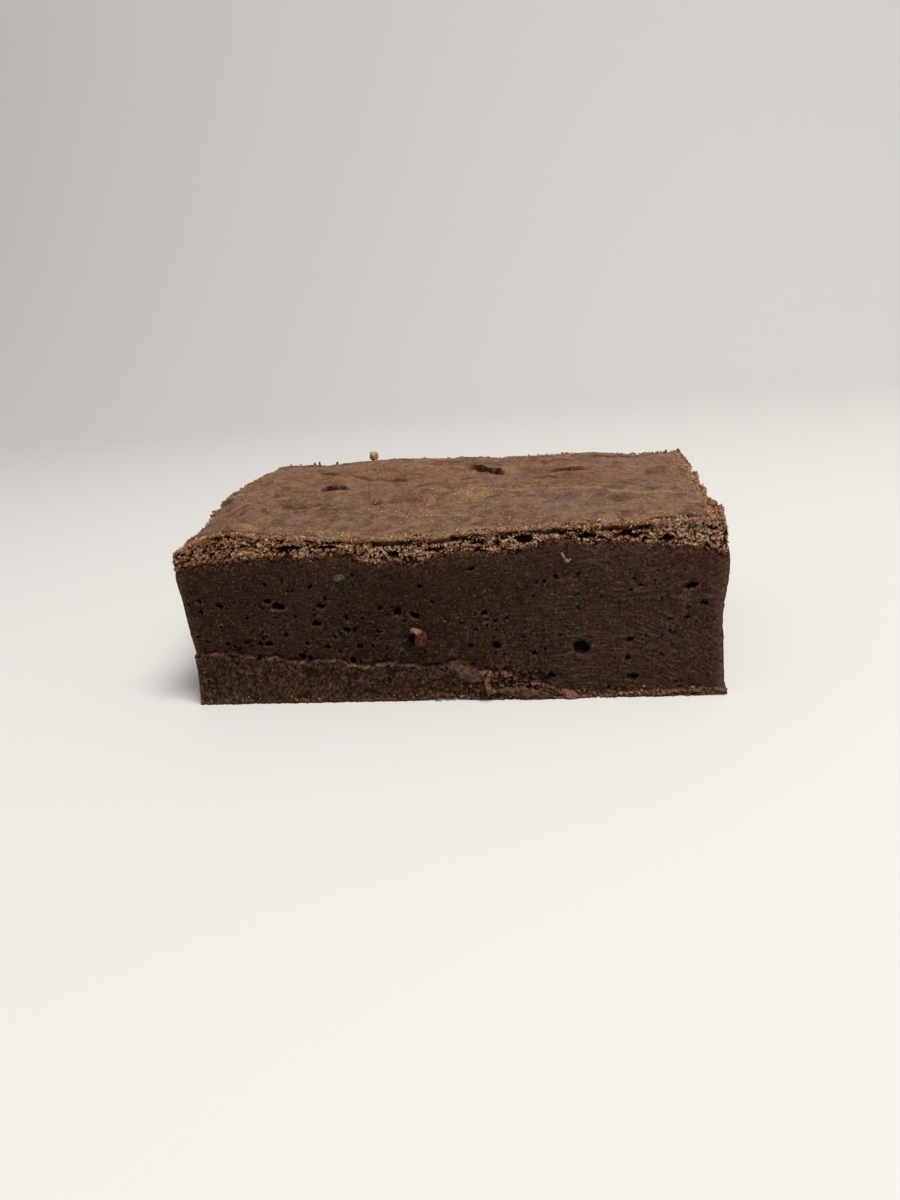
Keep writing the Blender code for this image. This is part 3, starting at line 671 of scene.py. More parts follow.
def fudge_piece():
    """The block of fudge: its four cut faces with their pores, closed by a flat base and a hidden top."""
    parts = []
    for side in SIDES:
        along = columns(side, FUDGE_STEP)
        z = fudge_rows(side, along)
        out, hole_shade, light = fudge_relief(side, along, z)
        place = np.broadcast_to(along, z.shape)
        parts.append((wall_points(side, along, z, out), hole_shade, light, *drag_lines(side, place, z), place))
    wall, hole_shade, *others = round_block(parts)
    count = wall.shape[1]
    base, lid = shrunk(wall[0], BASE_INSET, 0.0), shrunk(wall[-1], LID_INSET, HIDDEN_TOP)
    rings = np.concatenate([base[None], wall, lid[None]])
    # The hidden lid is painted fully dark, as painted shade; the base gets none.
    values = {"hole_shade": np.concatenate([np.zeros((1, count)), hole_shade, np.ones((1, count))])}
    for key, numbers in zip(("light", "line", "dragged", "place"), others):
        values[key] = np.concatenate([numbers[:1], numbers, numbers[-1:]])
    new_piece("fudge_block", rings.reshape(-1, 3), tube_faces(len(rings), count), values, fudge_material())


def crust_piece(material):
    """The crumbly crust: a closed frame round the block's top, whose wall comes out over the fudge."""
    parts, plain = [], []
    for side in SIDES:
        along = columns(side, CRUST_STEP)
        low, top = band_height(side, along) - 1.6, edge_height(side, along) - 0.25
        z = low + (top - low) * np.linspace(0.0, 1.0, CRUST_WALL_ROWS)[:, None]
        out, hole_shade, light = crust_relief(side, along, z)
        parts.append((wall_points(side, along, z, out), hole_shade, light))
        plain.append(np.stack(block_point(side, along)))
    rings = [round_block(parts)]
    plain = np.concatenate(plain, axis=1)
    for row in range(1, CRUST_TOP_ROWS + 1):
        inset = CRUST_RING_WIDTH * (row / CRUST_TOP_ROWS) ** 1.6
        x, y = plain[0] * (1 - 2 * inset / LENGTH), plain[1] * (1 - 2 * inset / DEPTH)
        height, deep, light = crust_top(x, y)
        points = spread(x, y, height - 0.1 * math.exp(-inset / 0.6))
        rings.append((points[None], deep[None], light[None]))
    for z in (HIDDEN_TOP + 1.5, HIDDEN_TOP):
        ring = points.copy()
        ring[:, 2] = z
        # The hidden top rings are painted fully dark, as painted shade.
        dark = np.ones((1, len(ring)))
        rings.append((ring[None], dark, 0 * dark))
    rings, hole_shade, light = (np.concatenate(rows) for rows in zip(*rings))
    faces = ring_faces(len(rings), rings.shape[1], closed=True)
    new_piece("crust_band", rings.reshape(-1, 3), faces, {"hole_shade": hole_shade, "light": light}, material)


def skin_grey_sheen(x, y):
    """How much grey the skin gets, a painted sheen that stands for the reflection of the pale surroundings:
    about 1 on the plate and in a few patches, 0 where it is red brown.
    """
    plate = rise(x, -8.0, 3.0) * rise(plate_line(x) - y, -0.4, 0.6)
    plate = np.maximum(plate, rise(-y - 4.0 + 3.0 * noise(x / 9.0, y / 9.0, SEED + 78), -6.0, 8.0))
    stripe = np.exp(-((x - 7.0) / 12.0) ** 4 - ((y - 16.5) / 1.6) ** 2)
    patch = np.maximum(spots(x, y, ((1.0, 31.0, 18.0, 5.0, 2.6),)), stripe)
    return np.clip(np.maximum(plate * 0.85, patch) + 0.25 * noise(x / 4.0, y / 3.0, SEED + 79), 0.0, 1.0)


def skin_strip(x, y):
    """Where the skin bends down over the top edge of a cut face: 1 there and 0 elsewhere."""
    strip = rise(noise(x / 8.0, y / 8.0, SEED + 72), 0.35, 0.6) * (y > 1 - DEPTH / 2)
    wobbly = x + 0.5 * noise(x / 1.4, y / 1.4, SEED + 73)
    for start, end in FRONT_STRIPS:
        inside = rise(wobbly, start, start + 1.0) * fall(wobbly, end - 1.0, end)
        strip = np.maximum(strip, inside * (y < 1 - DEPTH / 2))
    return strip


def skin_gold(x, y):
    """How golden the skin is: with fine dust, along the plate's edge and beside the middle tear."""
    dust = 0.6 + 0.6 * noise(x / 0.45, y / 0.45, SEED + 75) + 0.4 * noise(x / 1.4, y / 1.4, SEED + 74)
    gold = 0.6 * rise(skin_dust(x, y) * dust, 0.3, 1.5)
    line = bell(y - step_line(x) + 0.4, 0.6) * rise(x, -2.0, 3.0)
    gold = np.maximum(gold, line * (0.5 + 0.45 * noise(x / 1.5, y / 1.5, SEED + 76)))
    return np.maximum(gold, spots(x, y, ((0.4, 10.2, 9.0, 1.5, 3.0),)))


def skin_piece():
    """The thin skin: a wrinkled plate over the whole top, with a ragged rim and a hidden underside."""
    lines = []
    for size in (LENGTH, DEPTH):
        cells = round(size / SKIN_STEP)
        lines.append((np.arange(cells + 1) / cells - 0.5) * size)
    x, y = np.meshgrid(*lines, indexing="ij")
    relief, tear_shade, shaded_crease = skin_relief(x, y)
    bare, away, strips = bare_share(x, y), edge_distance(x, y), skin_strip(x, y)
    points = spread(x, y, skin_level(x, y, relief, bare))
    reach = 0.3 * noise(x / 9.0, y / 9.0, SEED + 70) + 0.3 * layered(x / 1.1, y / 1.1, SEED + 71, 2)
    reach = reach - 0.6 + 0.55 * strips - 1.2 * bare * (1.0 - strips)
    for axis, place, half in ((0, x, LENGTH / 2), (1, y, DEPTH / 2)):
        points[..., axis] += np.sign(place) * np.exp(-(half - np.abs(place)) / 0.8) * reach
    points = points.reshape(-1, 3)
    index = np.arange(x.size).reshape(x.shape)
    quads = np.stack([index[:-1, :-1], index[1:, :-1], index[1:, 1:], index[:-1, 1:]], axis=-1)
    faces = quads.reshape(-1, 4).tolist()
    rim = np.concatenate([index[:-1, 0], index[-1, :-1], index[:0:-1, -1], index[0, :0:-1]])
    edge, strip, count = points[rim], strips.ravel()[rim], len(rim)
    diagonal, level = edge[:, 0] + edge[:, 1], edge[:, 1] * 0
    thickness = SKIN_RIM_DEPTH[0] + (SKIN_RIM_DEPTH[1] - SKIN_RIM_DEPTH[0]) * strip
    thickness = thickness * (0.8 + 0.35 * noise(diagonal / 1.4, level, SEED + 88))
    rows = [points]
    for row in range(1, SKIN_RIM_ROWS + 1):
        share = row / SKIN_RIM_ROWS
        inward = 0.4 * share ** 2 + 0.24 * noise(diagonal / 0.45, level + 2.3 * row, SEED + 74)
        ring = edge * (1.0 - 2 * inward[:, None] / np.array([LENGTH, DEPTH, LENGTH]))
        ring[:, 2] = edge[:, 2] - thickness * share
        rows.append(ring)
    rows.append(shrunk(edge, 2.5, edge[:, 2] - thickness - 0.3))
    numbers = [rim] + [x.size + k * count + np.arange(count) for k in range(len(rows) - 1)]
    for high, low in zip(numbers, numbers[1:]):
        faces += np.stack([low, np.roll(low, -1), np.roll(high, -1), high], axis=-1).tolist()
    faces.append(numbers[-1][::-1].tolist())
    below = np.repeat(np.arange(SKIN_RIM_ROWS + 1), count) / SKIN_RIM_ROWS
    strip = np.tile(strip, SKIN_RIM_ROWS + 1)
    # Painted shade on the rim's underside where the skin bends down in strips, and on the sunk sheet under
    # bare spots.
    underside_shade = np.maximum(np.tile(0.9 * bare.ravel()[rim], SKIN_RIM_ROWS + 1), 0.6 * strip * (below > 0.1))
    pale = 0.6 * np.exp(-away / 0.45) * (0.5 + 0.8 * noise(x / 0.5, y / 0.5, SEED + 87))
    # Painted shade in the tears and on the skin that lies sunk out of sight under bare crust; the crease
    # value adds painted shade under the strips.
    values = {"hole_shade": (np.maximum(tear_shade, 0.9 * bare), underside_shade), "grey_sheen": (skin_grey_sheen(x, y), 0 * below),
              "shaded_crease": (shaded_crease, 0.5 * strip),
              "rim": (np.maximum(pale, skin_gold(x, y)), 0.6 * np.maximum(1.0 - strip, 1.0 - 5.0 * below))}
    values = {key: np.concatenate([top.ravel(), under]) for key, (top, under) in values.items()}
    new_piece("top_skin", np.concatenate(rows), faces, values, skin_material())


# ---------------------------------------------------------------- grains, crumbs and flakes

def pebble():
    """A unit octahedron: its points and triangles."""
    points = np.array([(1, 0, 0), (-1, 0, 0), (0, 1, 0), (0, -1, 0), (0, 0, 1), (0, 0, -1)], dtype=float)
    faces = np.array([(0, 2, 4), (2, 1, 4), (1, 3, 4), (3, 0, 4), (2, 0, 5), (1, 2, 5), (3, 1, 5), (0, 3, 5)])
    return points, faces


def scatter(name, centres, sizes, tones, draw, material):
    """One piece of many small angular crumbs."""
    unit, faces = pebble()
    count = len(centres)
    shape = unit[None] * (1.0 + draw.uniform(-0.2, 0.45, (count, len(unit), 1)))
    shape = shape * draw.uniform(0.45, 1.4, (count, 1, 3)) * sizes[:, None, None] / 2
    angle = draw.uniform(0, 2 * math.pi, (count, 3))
    for axis in range(3):
        c, s = np.cos(angle[:, axis])[:, None], np.sin(angle[:, axis])[:, None]
        first, second = (axis + 1) % 3, (axis + 2) % 3
        a, b = shape[..., first].copy(), shape[..., second].copy()
        shape[..., first], shape[..., second] = a * c - b * s, a * s + b * c
    points = (shape + centres[:, None]).reshape(-1, 3)
    joined = (faces[None] + np.arange(count)[:, None, None] * len(unit)).reshape(-1, 3)
    light = np.repeat(tones, len(unit))
    piece = new_piece(name, points, joined.tolist(), {"light": light, "hole_shade": light * 0}, material)
    piece.data.shade_flat()


def crust_grains(material):
    """The grains of the crust band and of the bare strips along the top edges."""
    draw = np.random.default_rng(SEED + 80)
    parts = []
    for side in SIDES:
        half, count = side_length(side) / 2, int(side_length(side) * BAND_GRAINS_PER_MM[side])
        along = draw.uniform(-half, half, count)
        band, top = band_height(side, along), edge_height(side, along)
        z = band - 0.2 + (top + 0.2 - band) * draw.uniform(0, 1, count) ** 0.9
        size = 0.10 + 0.26 * draw.uniform(0, 1, count) ** 2
        shade = crust_shade(side, along, z)
        clear = crumb_field(along, z, SIDE_SEED[side] + 202)[0] > -0.05
        clear &= draw.uniform(0.1, 1.0, count) < crust_share(side, along, z)
        clear &= draw.uniform(0.0, 1.6, count) > shade
        clear &= skin_strip(*block_point(side, along)) * (z > top - 1.3) < 0.3
        for at_along, at_z, width, height in slot_list(side):
            clear &= ((along - at_along) / width * 2) ** 2 + ((z - at_z) / height * 2) ** 2 > 0.8
        centres = wall_points(side, along, z, draw.uniform(-0.25, 0.2, count))
        # Grains in the shadow under the skin and near the band's lower line are painted darker, as painted
        # shade.
        tones = draw.uniform(0.1, 1.0, count) ** 1.3 * (1.0 - 0.7 * shade)
        parts.append((centres[clear], size[clear], tones[clear]))
    for side in SIDES:
        half, front = side_length(side) / 2, side == "front"
        count = int(side_length(side) * RIM_GRAINS_PER_MM[side])
        along = draw.uniform(-half, half, count)
        along = along[draw.uniform(-1.0, 0.4, count) < noise(along / 2.0, 0.5, SIDE_SEED[side] + 93)]
        count = len(along)
        z = edge_height(side, along) - 0.22 + 0.14 * draw.normal(0, 1, count)
        centres = wall_points(side, along, z, draw.uniform(-0.2, 0.2, count))
        size = (0.14 if front else 0.25) + (0.26 if front else 0.5) * draw.uniform(0, 1, count) ** 2
        parts.append((centres, size, draw.uniform(0.1, 0.75, count)))
        count = int(side_length(side) * LOW_GRAINS_PER_MM[side])
        along = draw.uniform(-half, half, count)
        z = band_height(side, along) + 0.2 - 0.6 * np.abs(draw.normal(0, 1, count))
        centres = wall_points(side, along, z, draw.uniform(-0.05, 0.1, count))
        size = 0.12 + 0.24 * draw.uniform(0, 1, count) ** 2
        parts.append((centres, size, draw.uniform(-0.3, 0.3, count)))
    x = draw.uniform(-LENGTH / 2, LENGTH / 2, BARE_TRIES)
    y = draw.uniform(-DEPTH / 2, DEPTH / 2, BARE_TRIES)
    kept = (bare_share(x, y) > 0.5) & (draw.uniform(0, 1, BARE_TRIES) < 0.4)
    x, y = x[kept][:BARE_GRAINS], y[kept][:BARE_GRAINS]
    centres = spread(x, y, crust_top(x, y)[0] + draw.uniform(0.0, 0.2, len(x)))
    size = 0.14 + 0.30 * draw.uniform(0, 1, len(x)) ** 2
    parts.append((centres, size, draw.uniform(0.05, 0.95, len(x)) ** 1.4))
    scatter("crust_grains", *(np.concatenate(rows) for rows in zip(*parts)), draw, material)


def skin_dust(x, y):
    """How thickly fine crumbs lie on the skin."""
    trail = 0.7 * np.exp(-((x + 7 + (y + 17) * 0.9) / 8.0) ** 2 - ((y + 18) / 7.0) ** 2)
    line = 0.8 * bell(y - plate_line(x), 0.7) * rise(x, -2.0, 3.0)
    away = edge_distance(x, y)
    patchy = 0.35 + 1.1 * rise(noise(x / 1.5, y / 1.5, SEED + 84), -0.3, 0.7)
    dust = (0.035 + spots(x, y, DUST_SPOTS) + trail + line) * patchy
    return dust + 2.6 * np.exp(-away / 0.5) + 0.4 * np.exp(-away / 1.5)


def skin_crumbs():
    """The fine crumbs that lie on the skin, thickest near the edges and in a few trails."""
    draw = np.random.default_rng(SEED + 90)
    x = draw.uniform(-LENGTH / 2 + 0.3, LENGTH / 2 - 0.3, DUST_TRIES)
    y = draw.uniform(-DEPTH / 2 + 0.3, DEPTH / 2 - 0.3, DUST_TRIES)
    kept = draw.uniform(0, 2.0, DUST_TRIES) < skin_dust(x, y)
    x, y = x[kept][:DUST_CRUMBS], y[kept][:DUST_CRUMBS]
    away = edge_distance(x, y)
    size = (0.10 + 0.26 * draw.uniform(0, 1, len(x)) ** 3) * (1.0 + 0.9 * np.exp(-away / 0.7))
    z = skin_level(x, y, skin_relief(x, y)[0], bare_share(x, y))
    tones = draw.uniform(0.30, 0.80, len(x))
    dust = crumb_material("golden_dust", (0.68, 0.44, 0.23), (0.24, 0.125, 0.055), 0.35)
    scatter("skin_crumbs", spread(x, y, z + 0.1 * size), size, tones, draw, dust)


def face_crumbs(material):
    """Loose specks on the cut faces, most of them along the base."""
    draw = np.random.default_rng(SEED + 100)
    centres, sizes = [], []
    for side in SIDES:
        half, count = side_length(side) / 2, int(side_length(side) * SPECKS_PER_MM)
        along = draw.uniform(-half, half, count)
        low = draw.uniform(0, 1, count) < 0.7
        z = np.where(low, 0.3 + 1.1 * draw.uniform(0, 1, count) ** 2.5, draw.uniform(1, 25, count))
        z = np.maximum(z, base_height(side, along) + 0.15)
        size = np.where(low, 0.2 + 0.5 * draw.uniform(0, 1, count) ** 2,
                        0.1 + 0.16 * draw.uniform(0, 1, count))
        centres.append(wall_points(side, along, np.maximum(z, size / 2), np.full(count, 0.02)))
        sizes.append(size)
    for at, width, count in BASE_CLUSTERS:
        along = at + width / 4 * draw.normal(0, 1, count)
        z = 0.3 + 0.54 * np.abs(draw.normal(0, 1, count))
        centres.append(wall_points("front", along, z, draw.uniform(0.1, 0.4, count)))
        sizes.append(0.2 + 0.4 * draw.uniform(0, 1, count) ** 2)
    centres, sizes = np.concatenate(centres), np.concatenate(sizes)
    centres[:, 2] = np.maximum(centres[:, 2], sizes)
    tones = draw.uniform(-0.15, 0.42, len(sizes))
    scatter("face_specks", centres, sizes, tones, draw, material)


def stuck_piece(name, points, faces, light, material):
    """A crumb or flake as a piece of its own, kept just above the floor."""
    points[:, 2] = np.maximum(points[:, 2], 0.02)
    values = {"light": np.broadcast_to(light, len(points)), "hole_shade": np.zeros(len(points))}
    new_piece(name, points, faces, values, material)


def lump_piece(name, parts, material, light, squareness=0.75):
    """A crumb or flake made of a few overlapping uneven pebbles: (centre, full sizes, turn)."""
    whole = bmesh.new()
    for number, (centre, size, turn) in enumerate(parts):
        made = bmesh.ops.create_icosphere(whole, subdivisions=4, radius=0.5)["verts"]
        shape = np.array([vertex.co for vertex in made])
        shape = 0.5 * np.sign(shape) * np.abs(2 * shape) ** squareness
        u, v = shape[:, 0] * 5 + shape[:, 2] * 3.3, shape[:, 1] * 5 - shape[:, 2] * 4.1
        rough = 0.2 * layered(u, v, SEED + 110 + 7 * number, 3)
        for vertex, point in zip(made, shape * (1.0 + rough[:, None]) * size):
            vertex.co = point
        bmesh.ops.rotate(whole, verts=made, matrix=Euler([math.radians(t) for t in turn]).to_matrix())
        bmesh.ops.translate(whole, verts=made, vec=Vector(centre))
    points = np.array([vertex.co for vertex in whole.verts])
    faces = [[vertex.index for vertex in face.verts] for face in whole.faces]
    whole.free()
    stuck_piece(name, points, faces, light, material)


def ribbon(path, across, seed):
    """A torn flake: a flat strip along a path of (x, y, z, width, thickness), with ragged edges."""
    path = np.array(path, dtype=float)
    at = np.linspace(0, len(path) - 1, 24 * len(path))
    numbered = [np.stack([np.arange(len(path)), path[:, k]], axis=-1) for k in range(5)]
    x, y, z, width, thickness = (curve(line, at) for line in numbered)
    middle = np.stack([x, y, z], axis=-1)
    along = np.gradient(middle, axis=0)
    along = along / np.linalg.norm(along, axis=1)[:, None]
    through = np.cross(along, np.array(across, dtype=float))
    through = through / np.linalg.norm(through, axis=1)[:, None]
    side = np.cross(through, along)
    angle = np.linspace(0, 2 * math.pi, 40, endpoint=False)
    share = at / at[-1]
    taper = np.sqrt(np.clip(1.0 - (2 * share - 1) ** 6, 0.02, 1.0))[:, None]
    ragged = 1.0 + 0.3 * noise(at[:, None] * 4.0, np.sin(angle)[None] * 2.2, seed)
    ragged = ragged + 0.25 * noise(at[:, None] * 9.0, np.cos(angle)[None] * 3.1, seed + 1)
    wide = (np.cos(angle) * width[:, None] / 2 * taper * ragged)[..., None] * side[:, None]
    thick = (np.sin(angle) * thickness[:, None] / 2 * taper * ragged)[..., None] * through[:, None]
    points = middle[:, None] + wide + thick
    edge = np.abs(np.cos(angle)) ** 3 + noise(at[:, None] * 7.0, np.cos(angle)[None] * 4.0, seed + 2)
    return points.reshape(-1, 3), tube_faces(len(at), len(angle)), edge.ravel()


def flake_piece(name, path, across, material, light):
    """A torn flake as a piece of its own, with a painted highlight along its edges in its light value."""
    points, faces, edge = ribbon(path, across, SEED + len(name))
    stuck_piece(name, points, faces, light + 0.3 * edge, material)


def stuck_pieces():
    """The crumbs and torn flakes that are large enough to see one by one."""
    lump_piece("red_crumb", (((-4.3, -31.2, 11.4), (1.9, 1.5, 2.6), (0, 8, 10)),
                             ((-3.7, -31.4, 12.0), (0.7, 1.0, 1.6), (0, -10, 30))),
               crumb_material("red_brown_crumb", (0.150, 0.044, 0.023), (0.020, 0.003, 0.001), 0.5), 0.5)
    lump_piece("red_crumb_crest", (((-4.9, -31.3, 12.7), (1.9, 1.1, 0.7), (0, 24, 0)),),
               crumb_material("tan_crest", (0.42, 0.235, 0.145), (0.12, 0.045, 0.022), 0.4), 0.6)
    lump_piece("back_crumb", (((-23.6, 29.9, 33.0), (1.9, 1.8, 2.0), (0, 0, 20)),),
               crumb_material("tan_crumb", (0.66, 0.42, 0.20), (0.34, 0.19, 0.09)), 0.9, 0.95)
    brown = crumb_material("brown_crumb", (0.27, 0.145, 0.08), (0.10, 0.048, 0.027))
    spikes = tuple(((x, 30.3, 31.7), (0.45, 0.5, tall), (0, 0, 30)) for x, tall in
                   ((-43.4, 0.9), (-41.1, 0.7), (-37.7, 1.1), (-36.6, 1.3), (-32.4, 0.8)))
    lump_piece("left_edge_crumbs", (((-45.7, 10.8, 31.5), (1.4, 1.8, 1.0), (0, 0, 0)),
                                    ((-45.3, -11.2, 30.5), (1.1, 1.4, 0.8), (0, 0, 40))) + spikes, brown, 0.3)
    lump_piece("right_edge_crumb", (((43.9, -21.4, 29.2), (1.7, 2.2, 1.5), (0, 0, 0)),), brown, 0.4)
    lump_piece("pale_speck", (((-17.2, -30.72, 22.4), (1.9, 0.5, 1.2), (0, -10, 0)),),
               crumb_material("pale_smudge", (0.140, 0.118, 0.085), (0.035, 0.020, 0.013), 0.4), 0.5, 1.0)
    fudge = crumb_material("torn_fudge", (0.150, 0.082, 0.045), (0.030, 0.011, 0.005), 0.8)
    flake_piece("base_flap", ((-0.4, -30.7, 6.6, 1.0, 0.5), (1.4, -31.2, 5.7, 2.6, 0.7),
                              (3.6, -31.4, 4.6, 2.4, 0.8), (6.0, -31.2, 3.8, 1.2, 0.6)),
                (0, 0, 1), fudge, 0.3)
    curl = crumb_material("torn_curl", (0.27, 0.145, 0.080), (0.060, 0.025, 0.012), 0.6)
    flake_piece("base_curl", ((7.0, -31.1, 5.3, 0.8, 0.6), (6.6, -31.6, 4.2, 1.0, 0.9),
                              (6.3, -31.9, 3.0, 1.2, 1.0), (6.6, -31.8, 1.9, 1.2, 0.9),
                              (7.9, -31.3, 1.5, 0.8, 0.6)), (0, 1, 0), curl, 0.6)
    flake_piece("base_smear", ((7.4, -31.0, 1.7, 1.0, 0.6), (10.6, -31.3, 1.4, 1.7, 0.8),
                               (14.2, -31.5, 1.0, 1.7, 0.8), (17.4, -31.2, 0.6, 0.9, 0.6)),
                (0, 0, 1), fudge, 0.4)
    red = crumb_material("red_flake", (0.36, 0.18, 0.12), (0.07, 0.018, 0.010), 0.4)
    flake_piece("base_red_flake", ((18.6, -30.9, 1.5, 0.8, 0.4), (19.8, -31.5, 0.9, 1.2, 0.5),
                                   (21.2, -31.6, 0.5, 0.9, 0.4)), (0, 0.5, 1), red, 0.5)
    straw = crumb_material("straw_flake", (0.46, 0.27, 0.16), (0.09, 0.038, 0.02), 0.4)
    flake_piece("straw_flake", ((19.6, -30.4, 25.1, 0.3, 0.25), (20.0, -31.0, 24.3, 0.4, 0.3),
                                (20.6, -31.1, 23.6, 0.5, 0.3), (21.1, -30.7, 24.0, 0.35, 0.25)),
                (1, 0, 0.5), straw, 0.5)


# ---------------------------------------------------------------- materials

def shader_start(name, roughness, specular):
    material = bpy.data.materials.new(name)
    material.use_nodes = True
    tree = material.node_tree
    shader = tree.nodes["Principled BSDF"]
    shader.inputs["Roughness"].default_value = roughness
    shader.inputs["Metallic"].default_value = 0.0
    shader.inputs["Specular IOR Level"].default_value = specular
    return material, tree, shader


def noise_node(tree, size_mm, detail, roughness=0.6, stretch=(1, 1, 1)):
    """A noise texture whose waves are about as long as the size given, on the object's own points."""
    place = tree.nodes.new("ShaderNodeTexCoord")
    scaled = tree.nodes.new("ShaderNodeMapping")
    scaled.inputs["Scale"].default_value = [1.0 / (size_mm * MM * s) for s in stretch]
    tree.links.new(place.outputs["Object"], scaled.inputs["Vector"])
    texture = tree.nodes.new("ShaderNodeTexNoise")
    texture.inputs["Scale"].default_value = 1.0
    texture.inputs["Detail"].default_value = detail
    texture.inputs["Roughness"].default_value = roughness
    tree.links.new(scaled.outputs["Vector"], texture.inputs["Vector"])
    return texture.outputs["Fac"]


def place_node(tree, axis):
    """How far along an axis a point of the object is, in metres."""
    place = tree.nodes.new("ShaderNodeTexCoord")
    parts = tree.nodes.new("ShaderNodeSeparateXYZ")
    tree.links.new(place.outputs["Object"], parts.inputs["Vector"])
    return parts.outputs[axis]


def pore_node(tree, spacing_mm, share):
    """Small round pores about a spacing apart: 1 inside one, 0 outside. Share is their width over it."""
    place = tree.nodes.new("ShaderNodeTexCoord")
    cells = tree.nodes.new("ShaderNodeTexVoronoi")
    cells.inputs["Scale"].default_value = 1.0 / (spacing_mm * MM)
    tree.links.new(place.outputs["Object"], cells.inputs["Vector"])
    return range_node(tree, cells.outputs["Distance"], share, 0.6 * share, 0.0, 1.0)


def streak_node(tree, length_mm, width_mm):
    """Noise drawn out along the lines that the mesh carries as its place and line values."""
    joined = tree.nodes.new("ShaderNodeCombineXYZ")
    for name, size, axis in (("place", length_mm, "X"), ("line", width_mm, "Y")):
        scaled = range_node(tree, attribute_node(tree, name), 0, size, 0, 1, clamp=False)
        tree.links.new(scaled, joined.inputs[axis])
    texture = tree.nodes.new("ShaderNodeTexNoise")
    texture.inputs["Scale"].default_value = 1.0
    texture.inputs["Detail"].default_value = 3
    tree.links.new(joined.outputs["Vector"], texture.inputs["Vector"])
    return texture.outputs["Fac"]


def ramp_node(tree, value, stops):
    """Turns a value into a colour through (place, colour) stops."""
    ramp = tree.nodes.new("ShaderNodeValToRGB")
    while len(ramp.color_ramp.elements) < len(stops):
        ramp.color_ramp.elements.new(1.0)
    for element, (place, colour) in zip(ramp.color_ramp.elements, stops):
        element.position = place
        element.color = (*colour, 1.0)
    tree.links.new(value, ramp.inputs["Fac"])
    return ramp.outputs["Color"]


def range_node(tree, value, low, high, to_low, to_high, clamp=True):
    node = tree.nodes.new("ShaderNodeMapRange")
    node.clamp = clamp
    for socket, number in (("From Min", low), ("From Max", high), ("To Min", to_low), ("To Max", to_high)):
        node.inputs[socket].default_value = number
    tree.links.new(value, node.inputs["Value"])
    return node.outputs["Result"]


def mix_node(tree, share, first, second, blend="MIX"):
    """Mixes two colours, each a socket or a plain colour."""
    node = tree.nodes.new("ShaderNodeMix")
    node.data_type = "RGBA"
    node.blend_type = blend
    for socket, value in ((node.inputs["Factor"], share), (node.inputs[6], first), (node.inputs[7], second)):
        if isinstance(value, bpy.types.NodeSocket):
            tree.links.new(value, socket)
        elif socket.type == "RGBA":
            socket.default_value = (*value, 1.0)
        else:
            socket.default_value = value
    return node.outputs[2]


def attribute_node(tree, name):
    node = tree.nodes.new("ShaderNodeAttribute")
    node.attribute_name = name
    return node.outputs["Fac"]


def cover(tree, colour, layers):
    """Lays colours over a colour: (value, where it starts, where it is full, its share, colour)."""
    for value, start, full, share, over in layers:
        colour = mix_node(tree, range_node(tree, value, start, full, 0.0, share), colour, over)
    return colour


def finish_surface(tree, shader, colour, roughness, layers):
    """Joins colour, roughness and a chain of bumps: (height, strength, depth in millimetres)."""
    tree.links.new(colour, shader.inputs["Base Color"])
    tree.links.new(roughness, shader.inputs["Roughness"])
    before = None
    for height, strength, depth in layers:
        bump = tree.nodes.new("ShaderNodeBump")
        bump.inputs["Strength"].default_value = strength
        bump.inputs["Distance"].default_value = depth * MM
        tree.links.new(height, bump.inputs["Height"])
        if before:
            tree.links.new(before, bump.inputs["Normal"])
        before = bump.outputs["Normal"]
    tree.links.new(before, shader.inputs["Normal"])


def fudge_material():
    """Dense dark fudge: faintly mottled, with fine pores in painted shade, light specks that are partly
    painted highlights, and a waxy, uneven gloss.
    """
    material, tree, shader = shader_start("fudge", 0.55, 0.06)
    streaks = noise_node(tree, 0.7, 4, stretch=(2.6, 2.6, 1))
    fine = noise_node(tree, 0.42, 3)
    lines = streak_node(tree, 3.2, 0.40)
    colour = ramp_node(tree, noise_node(tree, 9.0, 3),
                       ((0.3, (0.0185, 0.0068, 0.0032)), (0.7, (0.029, 0.0120, 0.0066))))
    colour = cover(tree, colour, ((streaks, 0.45, 0.75, 0.6, (0.052, 0.026, 0.016)),))
    dragged = cover(tree, colour, ((lines, 0.52, 0.66, 0.6, (0.082, 0.056, 0.048)),
                                   (lines, 0.47, 0.34, 0.6, (0.010, 0.004, 0.002))))
    colour = mix_node(tree, attribute_node(tree, "dragged"), colour, dragged)
    # The light value brings the crumbs' lighter tone together with the painted glints and highlights; the
    # fine light specks are partly painted tiny highlights.
    colour = cover(tree, colour, ((attribute_node(tree, "light"), 0.0, 1.0, 0.85, (0.21, 0.112, 0.062)),
                                  (fine, 0.57, 0.72, 0.75, (0.14, 0.090, 0.064)),
                                  (fine, 0.45, 0.32, 0.9, (0.006, 0.0016, 0.0006))))
    # Painted shade: the small pores and the shaded holes of the mesh turn near-black.
    pores = pore_node(tree, 1.3, 0.17)
    for depth in (pores, attribute_node(tree, "hole_shade")):
        colour = mix_node(tree, depth, colour, FUDGE_HOLE_SHADE)
    finish_surface(tree, shader, colour, range_node(tree, streaks, 0.3, 0.7, 0.45, 0.68),
                   ((streaks, 0.9, 0.35), (fine, 0.9, 0.3), (lines, 0.9, 0.3), (pores, -1.0, 0.3)))
    return material


